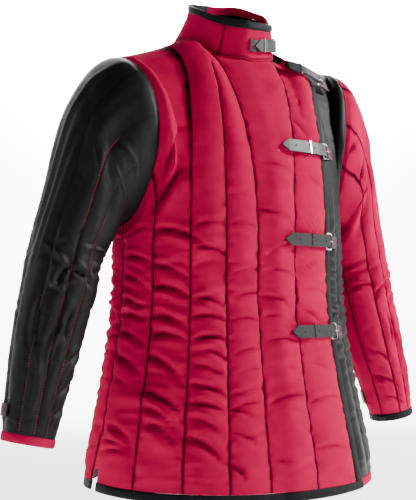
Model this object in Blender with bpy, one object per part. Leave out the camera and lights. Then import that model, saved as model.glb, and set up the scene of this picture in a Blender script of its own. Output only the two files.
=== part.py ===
"""Quilted gambeson in two colours, worn shape, closed on the wearer's left with buckled straps.

Metres, +Z up. +X is the wearer's left and the front faces -Y. The origin is the middle of the neck,
level with the tops of the shoulders, where the garment hangs on its wearer.
"""

import math

import bmesh
import bpy
import numpy as np


def table(columns, rows):
    """A short table as a dictionary of columns."""
    return {name: np.array([row[i] for row in rows], float) for i, name in enumerate(columns.split())}


# Cloth: the wall inside the quilting seams, and how far the padding stands out between them
WALL = 0.0030
PUFF = 0.0060
FLAT_PUFF = 0.0006
GAP = 0.0003
MITRE = 0.0030
BINDING = 0.0145
BINDING_PROUD = 0.0020
OVERLAP_LIFT = 0.0058
CORNER_LIFT = 0.0016

# Heights of the body
HEM = -0.728
HEM_RISE = 0.012
CHEST = -0.330
CHEST_V = 0.60
VENT_TOP = -0.615
VENT_OPEN = 0.030

# Level sections of the body below the chest: height, half width, depth in front and behind
BODY = table("z half front back", [
    (-0.760, 0.269, 0.206, 0.172),
    (-0.660, 0.250, 0.187, 0.166),
    (-0.560, 0.229, 0.167, 0.158),
    (-0.460, 0.212, 0.151, 0.150),
    (-0.400, 0.207, 0.146, 0.147),
    (-0.330, 0.206, 0.146, 0.150),
])
SECTION_RATIO = 0.73

# Neck seam, by the angle from the front: height
NECK_X = 0.083
NECK_FRONT = 0.083
NECK_MIDDLE = 0.022
NECK = table("angle z", [(0, -0.030), (45, -0.014), (90, 0.016), (135, 0.030), (180, 0.035)])
# Collar rim, by the same angle
RIM_R = 0.0680
RIM_MIDDLE = 0.003
RIM = table("angle z", [(0, 0.040), (45, 0.047), (90, 0.070), (135, 0.092), (180, 0.101)])
RIM_LEFT_UP = 0.010
COLLAR_LIFT = 0.0055
COLLAR_PUFF = 0.0015

# Shoulder seam from the neck to the armhole
SHOULDER_X = 0.215
SHOULDER_Y = 0.024
SHOULDER_Z = -0.031
SHOULDER_SAG = 0.003
LEFT_SHOULDER_UP = 0.024
LEFT_ARM_IN = 0.021

# Where the columns of cloth meet the top seams. Place along the seams: 0 the middle of the neck,
# 1 the side of the neck, 2 the shoulder point, 3 the underarm.
TOP_SEAM = table("w place", [
    (-1.000, -3.0000), (-0.765, -2.6667), (-0.581, -2.00), (-0.550, -1.32), (-0.350, -0.95),
    (-0.165, -0.53), (0.070, 0.39), (0.165, 0.58), (0.350, 0.95), (0.550, 1.32),
    (0.581, 2.00), (0.765, 2.6667), (1.000, 3.0000),
])
# How the cloth runs into the top seams: outward, backward and upward parts, and fullness
RUN_IN = table("place out back up full", [
    (0.00, 0.00, 0.62, 0.78, 0.75), (0.60, 0.00, 0.80, 0.60, 0.85), (1.00, 0.00, 1.00, 0.05, 0.95),
    (2.00, 0.30, 1.00, 0.00, 0.80), (2.12, 0.55, 0.80, 0.25, 0.75), (2.30, 0.65, 0.50, 0.60, 0.75),
    (2.65, 0.50, 0.10, 0.90, 0.90), (2.85, 0.15, 0.00, 1.00, 1.00), (3.00, 0.00, 0.00, 1.00, 1.00),
])
CHEST_FULL = 1.35
SHOULDER_W = 0.581

# Long quilting seams of each front and back, from the side seam inward
SEAMS = (1.000, 0.765, 0.550, 0.350, 0.165)
CROSSOVER_SEAM = 0.070
EDGE = table("v w", [(0.00, 0.340), (0.60, 0.340), (0.72, 0.345), (0.80, 0.395), (0.87, 0.510)])
EDGE_W = 0.340
CORNER_V = 0.870
BINDING_W = 0.052
UNDERLAP_W = 0.0

# Sleeve rings, mirrored for the other arm: outer point, inner point, half depth, middle
SLEEVE = table("t out_x out_z in_x in_z depth middle", [
    (0.00, 0.2150, -0.0310, 0.2050, -0.2960, 0.094, 0.014),
    (0.05, 0.2390, -0.0460, 0.2110, -0.2995, 0.092, 0.013),
    (0.11, 0.2670, -0.0740, 0.2165, -0.3040, 0.087, 0.011),
    (0.18, 0.2950, -0.1150, 0.2210, -0.3100, 0.079, 0.008),
    (0.26, 0.3150, -0.1700, 0.2255, -0.3180, 0.073, 0.006),
    (0.35, 0.3330, -0.2400, 0.2310, -0.3300, 0.066, 0.006),
    (0.44, 0.3530, -0.3140, 0.2400, -0.3450, 0.060, 0.006),
    (0.56, 0.3700, -0.3860, 0.2600, -0.4130, 0.056, 0.004),
    (0.71, 0.3890, -0.4780, 0.2900, -0.5010, 0.049, 0.000),
    (0.87, 0.4010, -0.5720, 0.3200, -0.5900, 0.041, -0.004),
    (1.00, 0.4100, -0.6290, 0.3340, -0.6450, 0.038, -0.006),
])
ARMHOLE_HOLLOW = 0.022
ARMHOLE_LEAN = 0.30
ARMHOLE_BACKWARD = 0.010
CAP_T = 0.20
SLEEVE_SEAM = 105
SLEEVE_PUFF = 0.0050
SLEEVE_OUT = 0.0006
SLEEVE_MITRE_T = 0.012

# Largest folds, in the front view of each face: middle, turn from level, length, width, depth
FRONT_FOLDS = table("x z turn length width depth", [
    (-0.158, -0.250, 92, 0.200, 0.016, -0.0070),
    (0.160, -0.250, 88, 0.180, 0.018, -0.0060),
    (-0.195, -0.585, -38, 0.110, 0.018, 0.0060),
    (-0.190, -0.640, -52, 0.110, 0.018, 0.0060),
    (-0.120, -0.610, -48, 0.120, 0.018, 0.0045),
    (-0.060, -0.420, -8, 0.160, 0.018, -0.0040),
    (0.030, -0.445, 10, 0.120, 0.018, -0.0035),
    (-0.120, -0.370, 6, 0.110, 0.018, -0.0040),
])
BACK_FOLDS = table("x z turn length width depth", [
    (-0.160, -0.250, 88, 0.200, 0.018, -0.0060),
    (0.160, -0.260, 92, 0.190, 0.018, -0.0060),
    (-0.100, -0.400, 9, 0.150, 0.018, -0.0045),
    (0.080, -0.420, -9, 0.150, 0.018, -0.0045),
    (-0.150, -0.610, 48, 0.120, 0.018, 0.0050),
    (0.140, -0.630, -50, 0.120, 0.018, 0.0050),
])
# Sleeve folds by the angle round the arm and the place along it
SLEEVE_FOLDS = table("angle t turn length width depth", [
    (75, 0.16, 70, 90, 14, -0.0055), (105, 0.30, 60, 80, 12, -0.0050),
    (150, 0.50, 8, 150, 14, -0.0060), (190, 0.60, -10, 130, 12, -0.0050),
    (30, 0.33, 80, 120, 13, 0.0045), (300, 0.28, 95, 110, 14, 0.0040),
    (250, 0.52, -8, 120, 13, -0.0050), (60, 0.78, 75, 90, 12, 0.0035),
])
DEGREES_PER_T = 330

# Straps: heights of the three front ones, and their real sizes
STRAP_HEIGHTS = (-0.177, -0.326, -0.474)
STRAP_TIPS = (0.003, -0.005, 0.003)
STRAP_SHIFTS = (0.008, 0.003, 0.008)
STRAP_WIDTH = 0.020
STRAP_THICK = 0.0022
POINT_LENGTH = 0.011
BUCKLE_LEFT = 0.084
BUCKLE_RIGHT = 0.101
ROOT_END = 0.126
WIRE = 0.0012
BUCKLE_HALF = 0.0130
KEEPER_X = 0.052
KEEPER_WIDTH = 0.0030
KEEPER_THICK = 0.0009
CHAPE_TIP = 0.040
PIN_R = 0.0008
# The shoulder strap: its way over the left shoulder, then tip, keeper, chape tip, buckle bars and root
SHOULDER_STRAP = table("share w v", [
    (0.00, 0.083, 0.967), (0.25, 0.250, 0.908), (0.50, 0.400, 0.865), (0.75, 0.530, 0.860),
    (1.00, 0.575, 0.868),
])
SHOULDER_LENGTHS = (0.002, 0.036, 0.020, 0.071, 0.088, 0.118)
# The collar strap: its height on the collar and its lengths, measured round the collar
COLLAR_STRAP_H = 0.42
COLLAR_GIRTH_R = 0.080
COLLAR_LENGTHS = (0.000, 0.019, -0.009, 0.046, 0.063, 0.092)
# Cuff straps run round the back of the wrist
CUFF_STRAP_ANGLES = (196, 372)
CUFF_STRAP_T = (0.875, 0.918)
CUFF_STRAP_THICK = 0.0020

RED = (0.420, 0.012, 0.035)
BLACK = (0.018, 0.019, 0.021)
LEATHER = (0.030, 0.030, 0.032)
STEEL = (0.620, 0.600, 0.570)


def curve(places, values, at):
    """Smooth reading of a table's column."""
    at = np.clip(at, places[0], places[-1])
    slopes = np.gradient(values, places)
    i = np.clip(np.searchsorted(places, at, side="right") - 1, 0, len(places) - 2)
    step = places[i + 1] - places[i]
    t = (at - places[i]) / step
    low = values[i] * (1 + 2 * t) + step * slopes[i] * t
    high = values[i + 1] * (3 - 2 * t) + step * slopes[i + 1] * (t - 1)
    return low * (1 - t) ** 2 + high * t ** 2


def ease(x):
    """A soft step from 0 to 1."""
    x = np.clip(x, 0, 1)
    return x * x * (3 - 2 * x)


def stack(x, y, z):
    return np.stack(np.broadcast_arrays(x, y, z), axis=-1).astype(float)


def unit(vectors):
    return vectors / np.maximum(np.linalg.norm(vectors, axis=-1, keepdims=True), 1e-12)


# Even steps along a section's arc, as angles from the middle of the front
ANGLES = np.linspace(-math.pi / 2, math.pi / 2, 721)
ARC = np.concatenate([[0], np.cumsum(np.hypot(np.diff(np.sin(ANGLES)), SECTION_RATIO * np.diff(np.cos(ANGLES))))])
ARC = 2 * ARC / ARC[-1] - 1


def dent(folds, x, z):
    """Sum of soft troughs and ridges at places of a plane."""
    total = np.zeros(np.broadcast(x, z).shape)
    for x0, z0, turn, length, width, depth in zip(*folds.values()):
        c, s = math.cos(math.radians(turn)), math.sin(math.radians(turn))
        along = (x - x0) * c + (z - z0) * s
        across = (z - z0) * c - (x - x0) * s
        ends = np.clip(1 - (2 * along / length) ** 2, 0, 1)
        total = total + depth * np.exp(-(across / width) ** 2) * ends ** 1.5
    return total


def sleeve_base(side, angle, t):
    """Surface of a sleeve: angle 0 is its outer line, 90 its front, and t runs from armhole to cuff."""
    a = np.radians(angle)
    out_x = curve(SLEEVE["t"], SLEEVE["out_x"], t)
    out_z = curve(SLEEVE["t"], SLEEVE["out_z"], t)
    in_x = curve(SLEEVE["t"], SLEEVE["in_x"], t)
    in_z = curve(SLEEVE["t"], SLEEVE["in_z"], t)
    depth = curve(SLEEVE["t"], SLEEVE["depth"], t)
    middle = curve(SLEEVE["t"], SLEEVE["middle"], t)
    cap = 1 - ease(t / CAP_T)
    x = (out_x + in_x) / 2 + (out_x - in_x) / 2 * np.cos(a) - ARMHOLE_HOLLOW * cap * np.sin(a) ** 2
    z = (out_z + in_z) / 2 + (out_z - in_z) / 2 * np.cos(a)
    y = middle + ARMHOLE_BACKWARD * cap * np.cos(a)
    y = y - depth * np.sin(a) * (1 + ARMHOLE_LEAN * cap * np.cos(a))
    if side > 0:
        z = z + LEFT_SHOULDER_UP * (1 - ease(t / 0.6)) * (0.5 + 0.5 * np.cos(a))
        outer = 0.5 + 0.5 * np.cos(a)
        inward = ease(t / 0.3) * outer + ease((t - 0.1) / 0.3) * (1 - outer)
        x = x - LEFT_ARM_IN * inward * (1 - 0.6 * ease((t - 0.6) / 0.4))
    return stack(side * x, y, z)


def neck(angle):
    """Neck seam, by the angle from the front, positive to the wearer's left."""
    a = np.radians(angle)
    z = curve(NECK["angle"], NECK["z"], np.abs(angle))
    return stack(NECK_X * np.sin(a), NECK_MIDDLE - NECK_FRONT * np.cos(a), z)


def top_seam(face, place):
    """Top edge of the fronts (face -1) and backs (face 1)."""
    side = np.where(place < 0, -1.0, 1.0)
    far = np.abs(place)
    turn = np.clip(far, 0, 1) * 90
    at_neck = neck(side * (turn if face < 0 else 180 - turn))
    t = np.clip(far - 1, 0, 1)[..., None]
    start = neck(side * 90.0)
    point = stack(side * SHOULDER_X, SHOULDER_Y, SHOULDER_Z + LEFT_SHOULDER_UP * (side > 0))
    seam = start * (1 - t) + point * t
    seam[..., 2] -= SHOULDER_SAG * np.sin(math.pi * t[..., 0])
    angle = np.clip(far - 2, 0, 1) * 180
    if face > 0:
        angle = 360 - angle
    hole = np.where(side[..., None] < 0, sleeve_base(-1, angle, 0.0), sleeve_base(1, angle, 0.0))
    return np.where(far[..., None] <= 1, at_neck, np.where(far[..., None] <= 2, seam, hole))


def section(face, w, z):
    """Point of the body's level section."""
    turn = np.interp(w, ARC, ANGLES)
    depth = curve(BODY["z"], BODY["front" if face < 0 else "back"], z)
    return stack(curve(BODY["z"], BODY["half"], z) * np.sin(turn), face * depth * np.cos(turn), z)


def body(face, w, v):
    """Surface of the body: w from side seam to side seam, v from the hem to the top seams."""
    w, v = np.broadcast_arrays(np.asarray(w, float), np.asarray(v, float))
    hem = HEM + HEM_RISE * (w ** 2 if face < 0 else 1)
    low = section(face, w, hem + (CHEST - hem) * np.minimum(v / CHEST_V, 1))
    place = np.interp(w, TOP_SEAM["w"], TOP_SEAM["place"])
    end = top_seam(face, place)
    start = section(face, w, np.full(w.shape, CHEST))
    far = np.abs(place)
    out = np.interp(far, RUN_IN["place"], RUN_IN["out"]) * np.sign(place)
    back = np.interp(far, RUN_IN["place"], RUN_IN["back"]) * -face
    up = np.interp(far, RUN_IN["place"], RUN_IN["up"])
    length = np.linalg.norm(end - start, axis=-1, keepdims=True)
    leave = stack(0 * w, 0 * w, 1 + 0 * w) * length * CHEST_FULL
    run_in = unit(stack(out, back, up)) * length
    run_in = run_in * np.interp(far, RUN_IN["place"], RUN_IN["full"])[..., None]
    t = np.clip((v - CHEST_V) / (1 - CHEST_V), 0, 1.01)[..., None]
    high = start * (1 + 2 * t) * (1 - t) ** 2 + leave * t * (1 - t) ** 2
    high = high + end * t ** 2 * (3 - 2 * t) + run_in * t ** 2 * (t - 1)
    return np.where(v[..., None] <= CHEST_V, low, high)


def body_out(face, w, v):
    """Outward direction of the body's surface."""
    step = 0.004
    across = body(face, np.minimum(w + step, 1), v) - body(face, np.maximum(w - step, -1), v)
    upward = body(face, w, np.minimum(v + step, 1)) - body(face, w, v - step)
    return unit(np.cross(across, upward)) * -face


def creased(face, w, v):
    """The body's surface with its largest folds, and its outward direction."""
    base, out = body(face, w, v), body_out(face, w, v)
    folds = FRONT_FOLDS if face < 0 else BACK_FOLDS
    fade = ease((1 - np.abs(w)) / 0.12)
    return base + out * (dent(folds, base[..., 0], base[..., 2]) * fade)[..., None], out


def channel_puff(w, seams):
    """Height of the padding between the seams, from 0 to 1."""
    seams = np.sort(seams)
    i = np.clip(np.searchsorted(seams, w, side="right") - 1, 0, len(seams) - 2)
    t = np.clip((w - seams[i]) / (seams[i + 1] - seams[i]), 0, 1)
    return np.sin(math.pi * t) ** 0.6


def top_fade(face, w, v):
    """The padding thins out towards the top seams."""
    span = np.linalg.norm(top_seam(face, np.interp(w, TOP_SEAM["w"], TOP_SEAM["place"]))
                          - section(face, w, np.full(np.shape(w), CHEST)), axis=-1)
    return ease((1 - v) / (1 - CHEST_V) * span / 0.030)


def material(name, colour, roughness, metallic=0.0):
    made = bpy.data.materials.new(name)
    made.use_nodes = True
    shader = made.node_tree.nodes["Principled BSDF"]
    shader.inputs["Base Color"].default_value = (*colour, 1)
    shader.inputs["Roughness"].default_value = roughness
    shader.inputs["Metallic"].default_value = metallic
    return made


def add_mesh(name, points, faces, finish):
    """An object with its faces turned outward."""
    mesh = bpy.data.meshes.new(name)
    mesh.from_pydata([tuple(p) for p in points], [], faces)
    work = bmesh.new()
    work.from_mesh(mesh)
    bmesh.ops.recalc_face_normals(work, faces=work.faces)
    work.to_mesh(mesh)
    work.free()
    mesh.materials.append(finish)
    made = bpy.data.objects.new(name, mesh)
    GARMENT.objects.link(made)
    return made


def wall(name, outer, inner, finish, wrap=False):
    """A closed wall between two grids of points, rows by columns."""
    rows, cols = outer.shape[:2]
    n = rows * cols
    faces = []
    for j in range(cols if wrap else cols - 1):
        k = (j + 1) % cols
        for i in range(rows - 1):
            a, b = i * cols + j, i * cols + k
            faces.append((a, b, b + cols, a + cols))
            faces.append((a + n, a + cols + n, b + cols + n, b + n))
        last = (rows - 1) * cols
        faces.append((j, j + n, k + n, k))
        faces.append((last + j, last + k, last + k + n, last + j + n))
    if not wrap:
        for i in range(rows - 1):
            for j in (0, cols - 1):
                a, b = i * cols + j, (i + 1) * cols + j
                faces.append((a, b, b + n, a + n) if j == 0 else (a, a + n, b + n, b))
    return add_mesh(name, np.concatenate([outer.reshape(-1, 3), inner.reshape(-1, 3)]), faces, finish)


def inset(values, amount):
    """The same steps, drawn in a little at both ends."""
    return np.clip(values, values.min() + amount, values.max() - amount)


def columns(side, inner=3):
    """Columns of a front or back from the side seam to its innermost seam. Round the armhole they stand
    where the sleeve's rings have their points."""
    parts = [np.linspace(SEAMS[0], SEAMS[1], 4, endpoint=False), np.linspace(SEAMS[1], SHOULDER_W, 9),
             np.linspace(SEAMS[2], SEAMS[3], 3, endpoint=False), np.linspace(SEAMS[3], SEAMS[4], inner, endpoint=False)]
    return side * np.concatenate(parts)


def rows(start):
    """Rows from just above the hem binding to the top seams."""
    lower = np.linspace(start, CHEST_V, 9, endpoint=False)
    return np.concatenate([lower, np.linspace(CHEST_V, 1, 9)])


HEM_V = BINDING / (CHEST - HEM) * CHEST_V
GAP_V = GAP / (CHEST - HEM) * CHEST_V
GAP_W = GAP / 0.30
MITRE_W = MITRE / 0.30
MITRE_V = MITRE / 0.30 * (1 - CHEST_V)


def vented(w, v):
    """The side edges part below the top of the vents."""
    z = HEM + (CHEST - HEM) * v / CHEST_V
    part = VENT_OPEN * np.clip((VENT_TOP - z) / (VENT_TOP - HEM), 0, 1)
    return w - np.sign(w) * part * ease((np.abs(w) - 0.765) / 0.235)


def hidden(w, v):
    """1 where the crossed-over front covers the underlap, and 0 away from it."""
    cover = np.interp(v, EDGE["v"], EDGE["w"]) + BINDING_W
    return 1 - ease((w - cover - 0.01) / 0.06)


def crossed(w, v):
    """Places of the crossed-over front: its edge leans outward at the top and ends below the seam."""
    share = np.clip((w - CROSSOVER_SEAM) / (EDGE_W - CROSSOVER_SEAM), 0, None)
    v = v * (1 - (1 - CORNER_V) * share)
    return w + (np.interp(v, EDGE["v"], EDGE["w"]) - EDGE_W) * share, v


def lift(w, v):
    """How far the crossed-over front stands off the body, a little more at its upper corner."""
    return OVERLAP_LIFT * ease((w + 0.12) / 0.08) + CORNER_LIFT * ease((w - 0.1) / 0.2) * ease((v - 0.7) / 0.15)


def front_right_at(w, v, raised):
    w, v = crossed(w, v)
    base, out = creased(-1, vented(w, v), v)
    return base + out * (lift(w, v) + raised)[..., None]


def panel_puff(face, w, v, seams):
    puff = PUFF * channel_puff(w, seams) * top_fade(face, w, v)
    return puff * (0.35 + 0.65 * ease((v - HEM_V) / 0.05))


def build_fronts(red, black):
    # Right front: from the right side seam across to the edge on the wearer's left
    seams = np.array([-s for s in SEAMS] + [CROSSOVER_SEAM, EDGE_W])
    w = np.concatenate([columns(-1, 5), np.linspace(-SEAMS[-1], CROSSOVER_SEAM, 6, endpoint=False),
                        np.linspace(CROSSOVER_SEAM, EDGE_W, 5)])
    w[0] += GAP_W
    w, v = np.meshgrid(w, rows(HEM_V + GAP_V))
    v[-1] = 1 - GAP_V
    w_in, v_in = inset(w, MITRE_W), np.minimum(v, 1 - MITRE_V)
    outer = front_right_at(w, v, panel_puff(-1, w, v, seams))
    wall("front_right", outer, front_right_at(w_in, v_in, -WALL + 0 * w), red)

    # Left front: from its hidden edge to the left side seam
    seams = np.array([UNDERLAP_W] + list(SEAMS))
    w = np.concatenate([[UNDERLAP_W, 0.0825], columns(1)[::-1], [1.0]])
    w = np.unique(np.concatenate([w, [SEAMS[-1]]]))
    w[-1] -= GAP_W
    w, v = np.meshgrid(w, rows(HEM_V + GAP_V))
    v[-1] = 1 - GAP_V
    puff = panel_puff(-1, w, v, seams)
    cover = hidden(w, v)
    puff = puff * (1 - cover) + np.minimum(puff, FLAT_PUFF) * cover
    base, out = creased(-1, vented(w, v), v)
    w_in, v_in = inset(w, MITRE_W), np.minimum(v, 1 - MITRE_V)
    base_in, out_in = creased(-1, vented(w_in, v_in), v_in)
    wall("front_left", base + out * puff[..., None], base_in - out_in * WALL, black)


def build_backs(red, black):
    for side, name, finish in ((-1, "back_right", red), (1, "back_left", black)):
        seams = np.sort(side * np.array([0.0] + list(SEAMS)))
        w = np.concatenate([np.abs(columns(side)), np.linspace(SEAMS[-1], 0, 4)]) * side
        w[0] -= side * GAP_W
        w[-1] = side * GAP_W / 2
        w, v = np.meshgrid(w, rows(HEM_V + GAP_V))
        v[-1] = 1 - GAP_V
        base, out = creased(1, vented(w, v), v)
        w_in, v_in = inset(w, MITRE_W), np.minimum(v, 1 - MITRE_V)
        base_in, out_in = creased(1, vented(w_in, v_in), v_in)
        puff = panel_puff(1, w, v, seams)
        wall(name, base + out * puff[..., None], base_in - out_in * WALL, finish)


def strip(name, at, across, along, finish, proud=BINDING_PROUD, under=WALL):
    """A narrow binding whose surface continues a panel past its edge."""
    a, b = np.meshgrid(across, along)
    wall(name, at(a, b, proud + 0 * a), at(a, b, -under + 0 * a), finish)


def plain_at(face, w, v, raised):
    base, out = creased(face, vented(w, v), v)
    return base + out * raised[..., None]


def build_bindings(red, black):
    hem = np.array([0.0, HEM_V / 2, HEM_V])
    front = np.linspace(-1 + GAP_W, EDGE_W + BINDING_W, 31)
    strip("binding_hem_front_right", front_right_at, front, hem, black)
    edge = np.array([EDGE_W + GAP_W, EDGE_W + BINDING_W / 2, EDGE_W + BINDING_W])
    strip("binding_front_edge", front_right_at, edge, rows(HEM_V + GAP_V), black)
    left = np.linspace(UNDERLAP_W, 1 - GAP_W, 22)
    strip("binding_hem_front_left", lambda w, v, r: plain_at(-1, w, v, np.minimum(r, FLAT_PUFF)),
          left, hem, red)
    for side, name, finish in ((-1, "right", black), (1, "left", red)):
        back = side * np.linspace(GAP_W / 2, 1 - GAP_W, 22)
        strip("binding_hem_back_" + name, lambda w, v, r: plain_at(1, w, v, r), back, hem, finish)


def collar_at(angle, h, lifted, raised):
    """Surface of the collar: h from the neck seam to the rim."""
    a = np.radians(angle)
    away = stack(np.sin(a), -np.cos(a), 0 * a)
    start = neck(angle)
    start[..., 2] += 0.0007
    rim_z = curve(RIM["angle"], RIM["z"], np.abs(angle))
    rim_z = rim_z + RIM_LEFT_UP * ease((angle - 30) / 60) * ease((180 - angle) / 60)
    rim = stack(RIM_R * np.sin(a), RIM_MIDDLE - RIM_R * np.cos(a), rim_z)
    share = stack(1 - (1 - h) ** 1.8, 1 - (1 - h) ** 1.8, h)
    raise_ends = lifted * (1 - h) ** 2 * 0.0040
    point = start * (1 - share) + rim * share + away * (lifted * COLLAR_LIFT + raised)[..., None]
    point[..., 2] += raise_ends
    return point


COLLAR_END = 45
COLLAR_UNDER = -4
RIM_H = 0.80


def collar_lift(angle):
    return ease((angle + 30) / 22)


def build_collar(red, black):
    spans = (("right", red, black, np.linspace(-180 + 0.15, COLLAR_END, 19), True),
             ("left", black, red, np.linspace(180 - 0.15, COLLAR_UNDER, 16), False))
    for name, cloth, edge, angles, outside in spans:
        h = np.array([0.0, 0.2, 0.42, 0.62, RIM_H])
        a, h = np.meshgrid(angles, h)
        up = collar_lift(a) if outside else 0 * a
        puff = COLLAR_PUFF * np.abs(np.sin(np.radians(a) * 3.5)) * np.sin(math.pi * h / RIM_H)
        puff = puff if outside else puff * ease((a - COLLAR_END) / 12)
        wall("collar_" + name, collar_at(a, h, up, puff), collar_at(a, h, up, -WALL + 0 * a), cloth)
        a, h = np.meshgrid(angles, np.array([RIM_H + 0.004, (1 + RIM_H) / 2, 1.0]))
        up = collar_lift(a) if outside else 0 * a
        proud = BINDING_PROUD if outside else 0.0010
        wall("binding_collar_" + name, collar_at(a, h, up, proud + 0 * a),
             collar_at(a, h, up, -WALL + 0 * a), edge)


def sleeve_at(side, angle, t, raised):
    """Sleeve surface with its folds, moved out by the padding."""
    step_a, step_t = 1.5, 0.006
    base = sleeve_base(side, angle, t)
    around = sleeve_base(side, angle + step_a, t) - sleeve_base(side, angle - step_a, t)
    along = sleeve_base(side, angle, t + step_t) - sleeve_base(side, angle, np.maximum(t - step_t, 0))
    out = unit(np.cross(around, along)) * side
    turn = (angle % 360)
    folds = 0 * angle * t
    for a0, t0, lean, length, width, depth in zip(*SLEEVE_FOLDS.values()):
        c, s = math.cos(math.radians(lean)), math.sin(math.radians(lean))
        da = (turn - a0 + 180) % 360 - 180
        dt = (t - t0) * DEGREES_PER_T
        ends = np.clip(1 - (2 * (da * c + dt * s) / length) ** 2, 0, 1) ** 1.5
        folds = folds + depth * np.exp(-((dt * c - da * s) / width) ** 2) * ends
    fade = ease(t / 0.08) * ease((1 - t) / 0.08)
    point = base + out * (raised + folds * fade)[..., None]
    point[..., 0] += side * SLEEVE_OUT
    return point


def sleeve_puff(angle, t, first, last, channels):
    s = (angle - first) / (last - first) * channels
    puff = SLEEVE_PUFF * np.abs(np.sin(math.pi * s)) ** 0.6
    return puff * ease((t - 0.01) / 0.16) * (0.3 + 0.7 * ease((0.97 - t) / 0.06))


def build_sleeves(red, black):
    cuff_t = 0.968
    for side, name, cloth, edge in ((-1, "right", black, red), (1, "left", red, black)):
        spans = (("top", SLEEVE_SEAM - 210, SLEEVE_SEAM, 5, 14), ("under", SLEEVE_SEAM, SLEEVE_SEAM + 150, 3, 10))
        for part, first, last, channels, steps in spans:
            angles = np.linspace(first, last, steps + 1)
            angles[[0, -1]] += (0.15, -0.15)
            t = np.concatenate([[0.0], np.linspace(0.035, cuff_t - 0.001, 18)])
            a, t = np.meshgrid(angles, t)
            puff = sleeve_puff(a, t, first, last, channels)
            t_in = np.maximum(t, SLEEVE_MITRE_T)
            wall("sleeve_%s_%s" % (name, part), sleeve_at(side, a, t, puff),
                 sleeve_at(side, a, t_in, -WALL + 0 * a), cloth)
        angles = np.linspace(0, 360, 24, endpoint=False)
        a, t = np.meshgrid(angles, np.array([cuff_t, 0.984, 1.0]))
        wall("binding_cuff_" + name, sleeve_at(side, a, t, BINDING_PROUD + 0 * a),
             sleeve_at(side, a, t, -WALL + 0 * a), edge, wrap=True)


def place(x, z):
    """Body place of a point of the front, by its width and height."""
    w, v = x / 0.29, 0.7 + 0 * x
    for _ in range(40):
        here = body(-1, w, v)
        across = (body(-1, w + 1e-3, v) - here) / 1e-3
        above = (body(-1, w, v + 1e-3) - here) / 1e-3
        dx, dz = x - here[..., 0], z - here[..., 2]
        det = across[..., 0] * above[..., 2] - above[..., 0] * across[..., 2]
        w = np.clip(w + 0.8 * (above[..., 2] * dx - above[..., 0] * dz) / det, -0.99, 0.99)
        v = np.clip(v + 0.8 * (across[..., 0] * dz - across[..., 2] * dx) / det, 0.01, 0.995)
    return w, v


def ribbon(name, middle, side, out, half, thick, finish):
    """A flat strap: rows along its middle line, half its width, and its thickness outward."""
    half = np.asarray(half, float)[:, None]
    low = np.stack([middle - side * half, middle, middle + side * half], axis=1)
    high = low + out[:, None] * thick
    wall(name, high, low, finish)


def front_line(path, offset):
    """Points, side and outward directions of a strap that runs over the front."""
    w, v = path
    base, out = creased(-1, w, v)
    middle = base + out * np.asarray(offset, float)[:, None]
    along = unit(np.gradient(middle, axis=0))
    return middle, np.cross(out, along), out


def tube(name, points, radius, finish, closed=False):
    """A wire as a curve with a round bevel, made a mesh."""
    data = bpy.data.curves.new(name, "CURVE")
    data.dimensions = "3D"
    data.bevel_depth = radius
    data.bevel_resolution = 1
    data.use_fill_caps = not closed
    line = data.splines.new("POLY")
    line.points.add(len(points) - 1)
    for point, co in zip(line.points, points):
        point.co = (*co, 1)
    line.use_cyclic_u = closed
    holder = bpy.data.objects.new(name + "_line", data)
    GARMENT.objects.link(holder)
    shape = bpy.data.meshes.new_from_object(holder.evaluated_get(bpy.context.evaluated_depsgraph_get()))
    work = bmesh.new()
    work.from_mesh(shape)
    bmesh.ops.remove_doubles(work, verts=work.verts, dist=1e-5)
    bmesh.ops.recalc_face_normals(work, faces=work.faces)
    work.to_mesh(shape)
    work.free()
    bpy.data.objects.remove(holder)
    shape.materials.clear()
    shape.materials.append(finish)
    made = bpy.data.objects.new(name, shape)
    GARMENT.objects.link(made)
    return made


def rounded_frame(centre, along, side, half_long, half_wide, corner):
    """Corner-rounded rectangle of points in the plane of two directions."""
    points = []
    for sx, sy, start in ((1, 1, 0), (-1, 1, 90), (-1, -1, 180), (1, -1, 270)):
        for turn in (0, 45, 90):
            a = math.radians(start + turn)
            x = sx * (half_long - corner) + corner * math.cos(a)
            y = sy * (half_wide - corner) + corner * math.sin(a)
            points.append(centre + along * x + side * y)
    return points


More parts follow.
